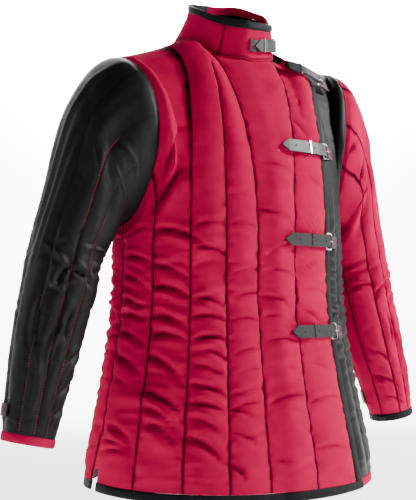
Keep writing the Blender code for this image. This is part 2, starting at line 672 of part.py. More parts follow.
def build_strap(name, line, lengths, offs, leather, steel):
    """A billet with its chape, keeper, buckle frame and pin. line gives the points, the side and the
    outward directions at places along the strap and heights above the body. offs are the heights of
    the chape, of the billet past the buckle, and of its root."""
    tip, keeper, chape_tip, left, right, end = lengths
    chape, low, root = offs
    high = chape + STRAP_THICK + 2 * GAP
    bars = low + STRAP_THICK + WIRE + 2 * GAP
    over = max(high, bars + WIRE + 3 * GAP)
    start = max(tip + POINT_LENGTH, chape_tip)
    shared = np.linspace(start, left - 0.0018, 5)
    gap = start - tip - POINT_LENGTH
    free = start - gap * np.arange(1 + int(gap / 0.010), 0, -1) / (1 + int(gap / 0.010)) if gap > 0 else []
    run = np.concatenate([[tip], free, shared,
                          [left + 0.0035, right - 0.0035, right + 0.004, right + 0.010, end]])
    offset = [high] * (len(run) - 6) + [over, over, low, low, (low + root) / 2, root]
    half = np.full(len(run), STRAP_WIDTH / 2)
    half[0] = 0.0012
    middle, side, out = line(run, offset)
    ribbon(name + "_billet", middle, side, out, half, STRAP_THICK, leather)
    run = shared if chape_tip > tip else np.concatenate([[chape_tip, tip], shared])
    middle, side, out = line(run, [chape] * len(run))
    ribbon(name + "_chape", middle, side, out, [STRAP_WIDTH / 2 - 0.0005] * len(run), STRAP_THICK, leather)
    middle, side, out = line(np.array([left - 0.002, (left + right) / 2, right + 0.002]), [bars] * 3)
    frame = rounded_frame(middle[1], unit(middle[2] - middle[0]), side[1], (right - left) / 2,
                          BUCKLE_HALF, 0.0035)
    tube(name + "_frame", frame, WIRE, steel, closed=True)
    pin = [middle[1] + out[1] * 0.0012 + unit(middle[2] - middle[0]) * s for s in (0.0005, (right - left) / 2 + 0.001)]
    pin = [p + out[1] * (WIRE + PIN_R + GAP - 0.0012) for p in pin]
    tube(name + "_pin", pin, PIN_R, steel)
    middle, side, out = line(np.array([keeper - 0.002, keeper, keeper + 0.002]),
                             [high + STRAP_THICK + GAP] * 3)
    build_keeper(name + "_keeper", middle[1], unit(middle[2] - middle[0]), side[1], out[1], steel)


def build_keeper(name, top, along, side, out, steel):
    """A thin band over the strap, with its two ends turned down beside it."""
    reach = STRAP_WIDTH / 2 + 2 * GAP
    drop = STRAP_THICK * 1.6
    inside = [(-reach, -drop), (-reach, 0), (reach, 0), (reach, -drop)]
    reach += KEEPER_THICK
    outside = [(-reach, -drop), (-reach, KEEPER_THICK), (reach, KEEPER_THICK), (reach, -drop)]
    edges = (-KEEPER_WIDTH / 2, KEEPER_WIDTH / 2)
    grids = [np.array([[top + side * s + out * o + along * e for e in edges] for s, o in line])
             for line in (outside, inside)]
    wall(name, grids[0], grids[1], steel)


def front_strap(name, line, lengths, extra, leather, steel):
    """A strap over the front."""
    chape = OVERLAP_LIFT + PUFF + GAP + extra
    low = OVERLAP_LIFT + BINDING_PROUD + 2 * GAP + extra
    build_strap(name, line, lengths, (chape, low, PUFF + 2 * GAP), leather, steel)


def stiff_line(way, height):
    """Line of a strap whose stiff leather bridges the hollows of the cloth. It gives points, side and
    outward directions at true lengths along the strap."""
    share = np.linspace(0, 1, 121)
    w, v = curve(way["share"], way["w"], share), curve(way["share"], way["v"], share)
    surface = body(-1, w, v)
    points = [np.polynomial.Polynomial.fit(share, surface[:, i], 3) for i in range(3)]
    normals = [np.polynomial.Polynomial.fit(share, body_out(-1, w, v)[:, i], 3) for i in range(3)]

    def at(place, terms):
        return np.stack([term(place) for term in terms], axis=-1)

    outs = unit(at(share, normals))
    rise = np.max(np.sum((surface - at(share, points)) * outs, axis=1))
    raised = at(share, points) + outs * height
    far = np.concatenate([[0], np.cumsum(np.linalg.norm(np.diff(raised, axis=0), axis=1))])

    def line(run, offset):
        place = np.interp(run, far, share)
        out = unit(at(place, normals))
        along = at(place, [term.deriv() for term in points])
        side = unit(np.cross(out, along))
        middle = at(place, points) + out * (np.asarray(offset, float) + rise)[:, None]
        return middle, side, out

    return line


def collar_line(run, offset):
    """Points of the collar strap: run is the way round the collar from the middle of the front."""
    angle = np.degrees(run / COLLAR_GIRTH_R)
    middle = collar_at(angle, COLLAR_STRAP_H + 0 * run, 0 * run, np.asarray(offset, float))
    upper = collar_at(angle, COLLAR_STRAP_H + 0.05 + 0 * run, 0 * run, np.asarray(offset, float))
    side = unit(upper - middle)
    along = unit(np.gradient(middle, axis=0))
    return middle, side, unit(np.cross(along, side))


def build_straps(leather, steel):
    for i, (z, tip, shift) in enumerate(zip(STRAP_HEIGHTS, STRAP_TIPS, STRAP_SHIFTS)):
        lengths = (tip, KEEPER_X + shift - 0.006 * i, CHAPE_TIP, BUCKLE_LEFT + shift, BUCKLE_RIGHT + shift,
                   ROOT_END + shift)
        front_strap("strap_%d" % (i + 1), lambda x, off, z=z: front_line(place(x, z + 0 * x), off), lengths, 0.0,
                    leather, steel)
    front_strap("strap_shoulder", stiff_line(SHOULDER_STRAP, OVERLAP_LIFT + PUFF), SHOULDER_LENGTHS,
                CORNER_LIFT, leather, steel)
    chape = COLLAR_LIFT + COLLAR_PUFF + GAP
    build_strap("strap_collar", collar_line, COLLAR_LENGTHS, (chape, chape + GAP, COLLAR_PUFF + 2 * GAP),
                leather, steel)
    for side, name in ((-1, "right"), (1, "left")):
        a, t = np.meshgrid(np.linspace(*CUFF_STRAP_ANGLES, 13), np.linspace(*CUFF_STRAP_T, 3))
        off = SLEEVE_PUFF + GAP + 0 * a
        wall("strap_cuff_" + name, sleeve_at(side, a, t, off + CUFF_STRAP_THICK), sleeve_at(side, a, t, off), leather)


def remove_all():
    for old in list(bpy.data.objects):
        bpy.data.objects.remove(old, do_unlink=True)


remove_all()
GARMENT = bpy.data.collections.new("gambeson")
bpy.context.scene.collection.children.link(GARMENT)


def main():
    red = material("red cotton", RED, 0.75)
    black = material("black cotton", BLACK, 0.70)
    leather = material("black leather", LEATHER, 0.45)
    steel = material("bright steel", STEEL, 0.25, 1.0)
    build_fronts(red, black)
    build_backs(red, black)
    build_bindings(red, black)
    build_collar(red, black)
    build_sleeves(red, black)
    build_straps(leather, steel)


main()
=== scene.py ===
# %% [markdown]
# # A quilted gambeson in two colours
# The CAD model gives the garment's true shape as closed walls. This script dresses it: each panel is
# rebuilt on the same surface with finer quilting, puckers and creases, and gets a woven finish, stitched
# seams and soft bindings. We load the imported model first, because every piece is placed in its frame.

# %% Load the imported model
import math

import bmesh
import bpy
import numpy as np
from mathutils import Matrix, Vector
from mathutils.bvhtree import BVHTree


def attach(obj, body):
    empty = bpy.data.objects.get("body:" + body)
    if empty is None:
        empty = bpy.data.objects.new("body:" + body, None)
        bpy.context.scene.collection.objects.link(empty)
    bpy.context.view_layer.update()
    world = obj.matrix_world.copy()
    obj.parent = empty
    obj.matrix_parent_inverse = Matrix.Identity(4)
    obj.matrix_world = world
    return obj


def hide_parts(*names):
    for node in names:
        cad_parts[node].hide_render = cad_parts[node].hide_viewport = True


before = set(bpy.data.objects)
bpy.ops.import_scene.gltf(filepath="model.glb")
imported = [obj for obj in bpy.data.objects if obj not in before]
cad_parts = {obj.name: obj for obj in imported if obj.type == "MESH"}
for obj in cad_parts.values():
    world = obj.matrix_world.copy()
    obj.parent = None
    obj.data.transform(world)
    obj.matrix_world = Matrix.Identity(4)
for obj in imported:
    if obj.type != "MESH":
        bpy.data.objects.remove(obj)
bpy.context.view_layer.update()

# %% [markdown]
# ## Sizes of the garment
# A pattern cutter works from a few measures: heights, widths at each height, the neck line and the
# shoulder line. The same short tables that made the CAD walls are repeated here, in metres, so each
# dressed piece lies on its wall. Only the space between sewn pieces is narrower here, so that no light
# shows through a seam. +X is the wearer's left, the front faces -Y, and +Z is up.

# %% Tables and measures
def table(columns, rows):
    """A short table as a dictionary of columns."""
    return {name: np.array([row[i] for row in rows], float) for i, name in enumerate(columns.split())}


# Cloth: the wall's thickness at a quilting seam, and how far the padding stands out between seams
WALL = 0.0030
PUFF = 0.0060
FLAT_PUFF = 0.0006
# Space between sewn pieces, and the slant of their edges
GAP = 0.00006
MITRE = 0.0030
BINDING = 0.0145
BINDING_PROUD = 0.0020
OVERLAP_LIFT = 0.0058
CORNER_LIFT = 0.0016

# Heights of the body
HEM = -0.728
HEM_RISE = 0.012
CHEST = -0.330
CHEST_V = 0.60
VENT_TOP = -0.615
VENT_OPEN = 0.030
VENT_WIDE = 0.235

# Level sections of the body below the chest: height, half width, depth in front and behind
BODY = table("z half front back", [
    (-0.760, 0.269, 0.206, 0.172),
    (-0.660, 0.250, 0.187, 0.166),
    (-0.560, 0.229, 0.167, 0.158),
    (-0.460, 0.212, 0.151, 0.150),
    (-0.400, 0.207, 0.146, 0.147),
    (-0.330, 0.206, 0.146, 0.150),
])
SECTION_RATIO = 0.73

# Neck seam, by the angle from the front: height
NECK_X = 0.083
NECK_FRONT = 0.083
NECK_MIDDLE = 0.022
NECK = table("angle z", [(0, -0.030), (45, -0.014), (90, 0.016), (135, 0.030), (180, 0.035)])
# Collar rim, by the same angle
RIM_R = 0.0680
RIM_MIDDLE = 0.003
RIM = table("angle z", [(0, 0.040), (45, 0.047), (90, 0.070), (135, 0.092), (180, 0.101)])
RIM_LEFT_UP = 0.010
COLLAR_LIFT = 0.0055
COLLAR_PUFF = 0.0015

# Shoulder seam from the neck to the armhole
SHOULDER_X = 0.215
SHOULDER_Y = 0.024
SHOULDER_Z = -0.031
SHOULDER_SAG = 0.003
LEFT_SHOULDER_UP = 0.024
LEFT_ARM_IN = 0.021

# Where the columns of cloth meet the top seams. Place along the seams: 0 the middle of the neck,
# 1 the side of the neck, 2 the shoulder point, 3 the underarm.
TOP_SEAM = table("w place", [
    (-1.000, -3.0000), (-0.765, -2.6667), (-0.581, -2.00), (-0.550, -1.32), (-0.350, -0.95),
    (-0.165, -0.53), (0.070, 0.39), (0.165, 0.58), (0.350, 0.95), (0.550, 1.32),
    (0.581, 2.00), (0.765, 2.6667), (1.000, 3.0000),
])
# How the cloth runs into the top seams: outward, backward and upward parts, and fullness
RUN_IN = table("place out back up full", [
    (0.00, 0.00, 0.62, 0.78, 0.75), (0.60, 0.00, 0.80, 0.60, 0.85), (1.00, 0.00, 1.00, 0.05, 0.95),
    (2.00, 0.30, 1.00, 0.00, 0.80), (2.12, 0.55, 0.80, 0.25, 0.75), (2.30, 0.65, 0.50, 0.60, 0.75),
    (2.65, 0.50, 0.10, 0.90, 0.90), (2.85, 0.15, 0.00, 1.00, 1.00), (3.00, 0.00, 0.00, 1.00, 1.00),
])
CHEST_FULL = 1.35
# Columns at the shoulder point and the side of the neck
SHOULDER_W = 0.581
NECK_W = 0.377

# Long quilting seams of each front and back, from the side seam inward
SEAMS = (1.000, 0.765, 0.550, 0.350, 0.165)
CROSSOVER_SEAM = 0.070
EDGE = table("v w", [(0.00, 0.340), (0.60, 0.340), (0.72, 0.345), (0.80, 0.395), (0.87, 0.510)])
EDGE_W = 0.340
CORNER_V = 0.870
BINDING_W = 0.052
UNDERLAP_W = 0.0

# Sleeve rings, mirrored for the other arm: outer point, inner point, half depth, middle
SLEEVE = table("t out_x out_z in_x in_z depth middle", [
    (0.00, 0.2150, -0.0310, 0.2050, -0.2960, 0.094, 0.014),
    (0.05, 0.2390, -0.0460, 0.2110, -0.2995, 0.092, 0.013),
    (0.11, 0.2670, -0.0740, 0.2165, -0.3040, 0.087, 0.011),
    (0.18, 0.2950, -0.1150, 0.2210, -0.3100, 0.079, 0.008),
    (0.26, 0.3150, -0.1700, 0.2255, -0.3180, 0.073, 0.006),
    (0.35, 0.3330, -0.2400, 0.2310, -0.3300, 0.066, 0.006),
    (0.44, 0.3530, -0.3140, 0.2400, -0.3450, 0.060, 0.006),
    (0.56, 0.3700, -0.3860, 0.2600, -0.4130, 0.056, 0.004),
    (0.71, 0.3890, -0.4780, 0.2900, -0.5010, 0.049, 0.000),
    (0.87, 0.4010, -0.5720, 0.3200, -0.5900, 0.041, -0.004),
    (1.00, 0.4100, -0.6290, 0.3340, -0.6450, 0.038, -0.006),
])
ARMHOLE_HOLLOW = 0.022
ARMHOLE_LEAN = 0.30
ARMHOLE_BACKWARD = 0.010
CAP_T = 0.20
SLEEVE_LENGTH = 0.68
SLEEVE_PUFF = 0.0050
SLEEVE_OUT = 0.0006
SLEEVE_MITRE_T = 0.012

# Largest folds, in the front view of each face: middle, turn from level, length, width, depth
FRONT_FOLDS = table("x z turn length width depth", [
    (-0.158, -0.250, 92, 0.200, 0.016, -0.0070),
    (0.160, -0.250, 88, 0.180, 0.018, -0.0060),
    (-0.195, -0.585, -38, 0.110, 0.018, 0.0060),
    (-0.190, -0.640, -52, 0.110, 0.018, 0.0060),
    (-0.120, -0.610, -48, 0.120, 0.018, 0.0045),
    (-0.060, -0.420, -8, 0.160, 0.018, -0.0040),
    (0.030, -0.445, 10, 0.120, 0.018, -0.0035),
    (-0.120, -0.370, 6, 0.110, 0.018, -0.0040),
])
BACK_FOLDS = table("x z turn length width depth", [
    (-0.160, -0.250, 88, 0.200, 0.018, -0.0060),
    (0.160, -0.260, 92, 0.190, 0.018, -0.0060),
    (-0.100, -0.400, 9, 0.150, 0.018, -0.0045),
    (0.080, -0.420, -9, 0.150, 0.018, -0.0045),
    (-0.150, -0.610, 48, 0.120, 0.018, 0.0050),
    (0.140, -0.630, -50, 0.120, 0.018, 0.0050),
])
# Sleeve folds by the angle round the arm and the place along it
SLEEVE_FOLDS = table("angle t turn length width depth", [
    (75, 0.16, 70, 90, 14, -0.0055), (105, 0.30, 60, 80, 12, -0.0050),
    (150, 0.50, 8, 150, 14, -0.0060), (190, 0.60, -10, 130, 12, -0.0050),
    (30, 0.33, 80, 120, 13, 0.0045), (300, 0.28, 95, 110, 14, 0.0040),
    (250, 0.52, -8, 120, 13, -0.0050), (60, 0.78, 75, 90, 12, 0.0035),
])
DEGREES_PER_T = 330
print("body sections", len(BODY["z"]), "sleeve rings", len(SLEEVE["t"]))

# %% [markdown]
# ## Small curve tools
# `curve` reads a table smoothly, `ease` is a soft step, `unit` gives directions of length one, and `turned`
# measures along and across a fold's own line.

# %% Curve tools
def curve(places, values, at):
    """Smooth reading of a table's column."""
    at = np.clip(at, places[0], places[-1])
    slopes = np.gradient(values, places)
    i = np.clip(np.searchsorted(places, at, side="right") - 1, 0, len(places) - 2)
    step = places[i + 1] - places[i]
    t = (at - places[i]) / step
    low = values[i] * (1 + 2 * t) + step * slopes[i] * t
    high = values[i + 1] * (3 - 2 * t) + step * slopes[i + 1] * (t - 1)
    return low * (1 - t) ** 2 + high * t ** 2


def ease(x):
    """A soft step from 0 to 1."""
    x = np.clip(x, 0, 1)
    return x * x * (3 - 2 * x)


def stack(x, y, z):
    return np.stack(np.broadcast_arrays(x, y, z), axis=-1).astype(float)


def unit(vectors):
    return vectors / np.maximum(np.linalg.norm(vectors, axis=-1, keepdims=True), 1e-12)


def turned(x, z, turn):
    c, s = math.cos(math.radians(turn)), math.sin(math.radians(turn))
    return x * c + z * s, z * c - x * s


print("half way up a soft step", ease(0.5))

# %% [markdown]
# ## The surface of the body
# Below the chest the body is a stack of soft ovals. Above it, each column of cloth is one smooth arc
# that runs into the neck, the shoulder seam or the armhole, the way a cut panel is eased into its seam.
# The largest folds are added to this surface and fade near the seams, where the cloth is held.
# `w` runs round the body from side seam to side seam and `v` runs up from the hem.

# %% Body surface
# Even steps along a section's arc, as angles from the middle of the front
ANGLES = np.linspace(-math.pi / 2, math.pi / 2, 721)
STEPS = np.hypot(np.diff(np.sin(ANGLES)), SECTION_RATIO * np.diff(np.cos(ANGLES)))
ARC = np.concatenate([[0], np.cumsum(STEPS)])
ARC = 2 * ARC / ARC[-1] - 1


def dent(folds, x, z):
    """Sum of soft troughs and ridges at places of a plane."""
    total = np.zeros(np.broadcast(x, z).shape)
    for x0, z0, turn, length, width, depth in zip(*folds.values()):
        along, across = turned(x - x0, z - z0, turn)
        ends = np.clip(1 - (2 * along / length) ** 2, 0, 1)
        total = total + depth * np.exp(-(across / width) ** 2) * ends ** 1.5
    return total


def sleeve_base(side, angle, t):
    """Surface of a sleeve: angle 0 is its outer line, 90 its front, and t runs from armhole to cuff."""
    a = np.radians(angle)
    places, *columns = SLEEVE.values()
    out_x, out_z, in_x, in_z, depth, middle = (curve(places, column, t) for column in columns)
    cap = 1 - ease(t / CAP_T)
    x = (out_x + in_x) / 2 + (out_x - in_x) / 2 * np.cos(a) - ARMHOLE_HOLLOW * cap * np.sin(a) ** 2
    z = (out_z + in_z) / 2 + (out_z - in_z) / 2 * np.cos(a)
    y = middle + ARMHOLE_BACKWARD * cap * np.cos(a)
    y = y - depth * np.sin(a) * (1 + ARMHOLE_LEAN * cap * np.cos(a))
    if side > 0:
        # The left shoulder is higher, and that arm hangs closer to the body
        z = z + LEFT_SHOULDER_UP * (1 - ease(t / 0.6)) * (0.5 + 0.5 * np.cos(a))
        outer = 0.5 + 0.5 * np.cos(a)
        inward = ease(t / 0.3) * outer + ease((t - 0.1) / 0.3) * (1 - outer)
        x = x - LEFT_ARM_IN * inward * (1 - 0.6 * ease((t - 0.6) / 0.4))
    return stack(side * x, y, z)


def neck(angle):
    """Neck seam, by the angle from the front, positive to the wearer's left."""
    a = np.radians(angle)
    z = curve(NECK["angle"], NECK["z"], np.abs(angle))
    return stack(NECK_X * np.sin(a), NECK_MIDDLE - NECK_FRONT * np.cos(a), z)


def top_seam(face, place):
    """Top edge of the fronts (face -1) and backs (face 1)."""
    side = np.where(place < 0, -1.0, 1.0)
    far = np.abs(place)
    turn = np.clip(far, 0, 1) * 90
    at_neck = neck(side * (turn if face < 0 else 180 - turn))
    t = np.clip(far - 1, 0, 1)[..., None]
    start = neck(side * 90.0)
    point = stack(side * SHOULDER_X, SHOULDER_Y, SHOULDER_Z + LEFT_SHOULDER_UP * (side > 0))
    seam = start * (1 - t) + point * t
    seam[..., 2] -= SHOULDER_SAG * np.sin(math.pi * t[..., 0])
    angle = np.clip(far - 2, 0, 1) * 180
    if face > 0:
        angle = 360 - angle
    hole = np.where(side[..., None] < 0, sleeve_base(-1, angle, 0.0), sleeve_base(1, angle, 0.0))
    return np.where(far[..., None] <= 1, at_neck, np.where(far[..., None] <= 2, seam, hole))


def section(face, w, z):
    """Point of the body's level section."""
    turn = np.interp(w, ARC, ANGLES)
    depth = curve(BODY["z"], BODY["front" if face < 0 else "back"], z)
    return stack(curve(BODY["z"], BODY["half"], z) * np.sin(turn), face * depth * np.cos(turn), z)


def body(face, w, v):
    """Surface of the body: w from side seam to side seam, v from the hem to the top seams."""
    w, v = np.broadcast_arrays(np.asarray(w, float), np.asarray(v, float))
    hem = HEM + HEM_RISE * (w ** 2 if face < 0 else 1)
    low = section(face, w, hem + (CHEST - hem) * np.minimum(v / CHEST_V, 1))
    place = np.interp(w, TOP_SEAM["w"], TOP_SEAM["place"])
    end = top_seam(face, place)
    start = section(face, w, np.full(w.shape, CHEST))
    far = np.abs(place)
    out = np.interp(far, RUN_IN["place"], RUN_IN["out"]) * np.sign(place)
    back = np.interp(far, RUN_IN["place"], RUN_IN["back"]) * -face
    up = np.interp(far, RUN_IN["place"], RUN_IN["up"])
    length = np.linalg.norm(end - start, axis=-1, keepdims=True)
    leave = stack(0 * w, 0 * w, 1 + 0 * w) * length * CHEST_FULL
    run_in = unit(stack(out, back, up)) * length
    run_in = run_in * np.interp(far, RUN_IN["place"], RUN_IN["full"])[..., None]
    t = np.clip((v - CHEST_V) / (1 - CHEST_V), 0, 1.01)[..., None]
    high = start * (1 + 2 * t) * (1 - t) ** 2 + leave * t * (1 - t) ** 2
    high = high + end * t ** 2 * (3 - 2 * t) + run_in * t ** 2 * (t - 1)
    return np.where(v[..., None] <= CHEST_V, low, high)


def body_out(face, w, v):
    """Outward direction of the body's surface."""
    step = 0.004
    across = body(face, np.minimum(w + step, 1), v) - body(face, np.maximum(w - step, -1), v)
    upward = body(face, w, np.minimum(v + step, 1)) - body(face, w, v - step)
    return unit(np.cross(across, upward)) * -face


def creased(face, w, v):
    """The body's surface with its largest folds, and its outward direction."""
    base, out = body(face, w, v), body_out(face, w, v)
    folds = FRONT_FOLDS if face < 0 else BACK_FOLDS
    fade = ease((1 - np.abs(w)) / 0.12) * ease((1 - v) / 0.07)
    return base + out * (dent(folds, base[..., 0], base[..., 2]) * fade)[..., None], out

# %% [markdown]
# ## The crossed-over front
# The red front laps over the black one, so its free edge leans outward towards the shoulder and stands off
# the body by the thickness of the cloth below. We bend the places of the grid and cut no mesh, so the
# binding can follow the same edge. The side seams part at the foot, which gives a wearer room to stride.

# %% Places on the crossed-over front
# One w is about 0.30 m along the cloth, and so is the height from the chest to the top seams
HEM_V = BINDING / (CHEST - HEM) * CHEST_V
GAP_V = GAP / (CHEST - HEM) * CHEST_V
CLOTH_W = 0.30
GAP_W = GAP / CLOTH_W
MITRE_W = MITRE / CLOTH_W
MITRE_V = MITRE / CLOTH_W * (1 - CHEST_V)
print("hem binding ends at v", round(HEM_V, 4))


def vented(w, v):
    """The side edges part below the top of the vents."""
    z = HEM + (CHEST - HEM) * v / CHEST_V
    part = VENT_OPEN * np.clip((VENT_TOP - z) / (VENT_TOP - HEM), 0, 1)
    return w - np.sign(w) * part * ease((np.abs(w) - SEAMS[1]) / VENT_WIDE)


def hidden(w, v):
    """1 where the crossed-over front covers the underlap, and 0 away from it."""
    cover = np.interp(v, EDGE["v"], EDGE["w"]) + BINDING_W
    return 1 - ease((w - cover - 0.01) / 0.06)


def crossed(w, v):
    """Places of the crossed-over front: its edge leans outward at the top and ends below the seam."""
    share = np.clip((w - CROSSOVER_SEAM) / (EDGE_W - CROSSOVER_SEAM), 0, None)
    v = v * (1 - (1 - CORNER_V) * share)
    return w + (np.interp(v, EDGE["v"], EDGE["w"]) - EDGE_W) * share, v


def lift(w, v):
    """How far the crossed-over front stands off the body, a little more at its upper corner."""
    corner = CORNER_LIFT * ease((w - 0.1) / 0.2) * ease((v - 0.7) / 0.15)
    return OVERLAP_LIFT * ease((w + 0.12) / 0.08) + corner


def front_right_at(w, v, raised):
    w, v = crossed(w, v)
    base, out = creased(-1, vented(w, v), v)
    return base + out * (lift(w, v) + raised)[..., None]

# %% [markdown]
# ## Collar and sleeves
# The collar is a short cone that stands on the neck seam, with its right half lapped over the left.
# Each sleeve is a bent tube whose rings tilt from the armhole to the cuff.

# %% Collar and sleeve surfaces
COLLAR_END = 45
COLLAR_UNDER = -4
COLLAR_STAND = 0.0007
COLLAR_END_UP = 0.0040
RIM_H = 0.80


def collar_at(angle, h, lifted, raised):
    """Surface of the collar: h from the neck seam to the rim."""
    a = np.radians(angle)
    away = stack(np.sin(a), -np.cos(a), 0 * a)
    start = neck(angle)
    start[..., 2] += COLLAR_STAND
    rim_z = curve(RIM["angle"], RIM["z"], np.abs(angle))
    rim_z = rim_z + RIM_LEFT_UP * ease((angle - 30) / 60) * ease((180 - angle) / 60)
    rim = stack(RIM_R * np.sin(a), RIM_MIDDLE - RIM_R * np.cos(a), rim_z)
    inward = 1 - (1 - h) ** 1.8
    share = stack(inward, inward, h)
    point = start * (1 - share) + rim * share + away * (lifted * COLLAR_LIFT + raised)[..., None]
    point[..., 2] += lifted * (1 - h) ** 2 * COLLAR_END_UP
    return point


def collar_lift(angle):
    """1 where the right half of the collar lies over the left one."""
    return ease((angle + 30) / 22)


def sleeve_at(side, angle, t, raised):
    """Sleeve surface with its folds, moved out by the padding."""
    step_a, step_t = 1.5, 0.006
    base = sleeve_base(side, angle, t)
    around = sleeve_base(side, angle + step_a, t) - sleeve_base(side, angle - step_a, t)
    along = sleeve_base(side, angle, t + step_t) - sleeve_base(side, angle, np.maximum(t - step_t, 0))
    out = unit(np.cross(around, along)) * side
    folds = 0 * angle * t
    for a0, t0, lean, length, width, depth in zip(*SLEEVE_FOLDS.values()):
        da = (angle % 360 - a0 + 180) % 360 - 180
        dt = (t - t0) * DEGREES_PER_T
        far, off = turned(da, dt, lean)
        ends = np.clip(1 - (2 * far / length) ** 2, 0, 1) ** 1.5
        folds = folds + depth * np.exp(-(off / width) ** 2) * ends
    fade = ease(t / 0.08) * ease((1 - t) / 0.08)
    point = base + out * (raised + folds * fade)[..., None]
    point[..., 0] += side * SLEEVE_OUT
    return point

# %% [markdown]
# ## Colours and nodes
# Colours are picked as sRGB hex values, the way a dyer's card gives them, and turned to the linear values
# that the shader works in. One helper adds a node with its settings and its links.

# %% Colour and node helpers
def linear(code):
    parts = [int(code[i:i + 2], 16) / 255 for i in (1, 3, 5)]
    return tuple(c / 12.92 if c <= 0.04045 else ((c + 0.055) / 1.055) ** 2.4 for c in parts) + (1.0,)


def add_node(tree, kind, settings, links=None):
    node = tree.nodes.new("ShaderNode" + kind)
    for name, value in settings.items():
        if isinstance(name, int) or name in node.inputs:
            node.inputs[name].default_value = value
        else:
            setattr(node, name, value)
    for name, socket in (links or {}).items():
        tree.links.new(socket, node.inputs[name])
    return node


def new_material(name, settings):
    made = bpy.data.materials.new(name)
    made.use_nodes = True
    shader = made.node_tree.nodes["Principled BSDF"]
    for socket, value in settings.items():
        shader.inputs[socket].default_value = value
    return made, made.node_tree, shader


def join(tree, shader, bump, ramp, stops):
    """Gives the shader its relief and its colours, each a place on the ramp and a colour."""
    for element, (place, colour) in zip(ramp.color_ramp.elements, stops):
        element.position = place
        element.color = colour
    tree.links.new(bump.outputs["Normal"], shader.inputs["Normal"])
    tree.links.new(ramp.outputs["Color"], shader.inputs["Base Color"])


print("middle grey in linear values", round(linear("#808080")[0], 3))

# %% [markdown]
# ## Cotton cloth
# The outer cloth is a dense cotton twill, dulled by wear. The red is quite matt, and the black keeps a faint
# sheen at grazing angles, as smooth dyed cotton does. Real threads lie about 0.4 mm apart, which is finer
# than the render can show, so the weave is drawn at 1.5 mm. It follows the panel's own cloth coordinates. The
# `seam` attribute is 1 at a stitched seam and in the troughs of the creases, and 0 on the crown of a channel.
# The colour ramp darkens the cloth towards 1: painted shade, with some dust at the seams. The crowns keep the
# lit colour.

# %% Cotton
THREAD = 0.0015
WAVE_PERIOD = 2 * math.pi / 20


def cotton(name, lit, dust_and_shade, roughness, sheen, shine):
    made, tree, shader = new_material(name, {
        "Roughness": roughness, "Sheen Weight": sheen, "Sheen Roughness": 0.35, "IOR": 1.45,
        "Sheen Tint": linear(lit), "Specular IOR Level": shine})
    cloth = add_node(tree, "UVMap", {"uv_map": "cloth"})
    place = add_node(tree, "TexCoord", {})
    waves = {"Scale": WAVE_PERIOD / THREAD, "Distortion": 0.4, "Detail": 1.0}
    warp, weft = (add_node(tree, "TexWave", {"bands_direction": way, **waves},
                           {"Vector": cloth.outputs["UV"]}) for way in "XY")
    weave = add_node(tree, "Math", {"operation": "MAXIMUM"},
                     {0: warp.outputs["Fac"], 1: weft.outputs["Fac"]})
    slub = add_node(tree, "TexNoise", {"Scale": 260.0, "Detail": 3.0},
                    {"Vector": place.outputs["Object"]})
    relief = add_node(tree, "Math", {"operation": "MULTIPLY_ADD", 1: 0.6},
                      {0: slub.outputs["Fac"], 2: weave.outputs["Value"]})
    bump = add_node(tree, "Bump", {"Strength": 0.22, "Distance": 0.0004},
                    {"Height": relief.outputs["Value"]})
    clouds = add_node(tree, "TexNoise", {"Scale": 22.0, "Detail": 5.0, "Roughness": 0.6},
                      {"Vector": place.outputs["Object"]})
    # Painted shade: the seam attribute, with random clouds, moves the base colour from the lit colour to the
    # dark seam colour
    seam = add_node(tree, "Attribute", {"attribute_name": "seam"})
    soft = add_node(tree, "Math", {"operation": "MULTIPLY", 1: 0.6}, {0: clouds.outputs["Fac"]})
    shade = add_node(tree, "Math", {"operation": "MULTIPLY_ADD", 1: 0.75},
                     {0: seam.outputs["Fac"], 2: soft.outputs["Value"]})
    ramp = add_node(tree, "ValToRGB", {}, {"Fac": shade.outputs["Value"]})
    join(tree, shader, bump, ramp, ((0.30, linear(lit)), (1.0, linear(dust_and_shade))))
    return made


# Finish: name, lit colour on the crowns, darker colour in the seams and crease troughs (painted shade with
# some dust), roughness, sheen and shine
RED = cotton("red cotton twill", "#B00440", "#1E010A", 0.85, 0.0, 0.02)
BLACK = cotton("black cotton twill", "#0C0D0F", "#020203", 0.58, 0.03, 0.24)
RED_TAPE = cotton("red cotton tape", "#AA0840", "#3A0412", 0.85, 0.0, 0.03)
BLACK_TAPE = cotton("black cotton tape", "#101114", "#050506", 0.66, 0.03, 0.18)
print("cloth finishes", [m.name for m in (RED, BLACK, RED_TAPE, BLACK_TAPE)])

# %% [markdown]
# ## Thread, leather and steel
# The seams are sewn with heavy cotton thread, dark on the red cloth and red on the black. The straps are
# cowhide dyed black, whose pressed grain breaks up the shine. Buckles and keepers are plain steel, tumbled
# bright, with faint scratches.

# %% Thread, leather and steel
GRAIN = 0.0012


def plain(name, colour, roughness, grain, metallic=0.0, depth=0.0002, tone=0.25):
    made, tree, shader = new_material(name, {"Roughness": roughness, "Metallic": metallic})
    place = add_node(tree, "TexCoord", {})
    cells = add_node(tree, "TexNoise", {"Scale": 1 / grain, "Detail": 4.0},
                     {"Vector": place.outputs["Object"]})
    bump = add_node(tree, "Bump", {"Strength": 0.3, "Distance": depth},
                    {"Height": cells.outputs["Fac"]})
    ramp = add_node(tree, "ValToRGB", {}, {"Fac": cells.outputs["Fac"]})
    base = linear(colour)
    darker = tuple(c * (1 - tone) for c in base[:3]) + (1.0,)
    join(tree, shader, bump, ramp, ((0.3, darker), (0.75, base)))
    return made


RED_THREAD = plain("red cotton thread", "#B02A44", 0.7, 0.0006)
DARK_THREAD = plain("dark cotton thread", "#200609", 0.7, 0.0006)
LEATHER = plain("black cowhide", "#161618", 0.52, GRAIN, depth=0.0004)
# A near-black disc for each punched hole: a painted shadow in place of the hole's dark inside
HOLE_SHADOW = plain("painted hole shadow", "#050505", 0.9, GRAIN)
STEEL = plain("bright tumbled steel", "#C9C6C0", 0.24, 0.004, metallic=1.0, depth=0.00005, tone=0.12)

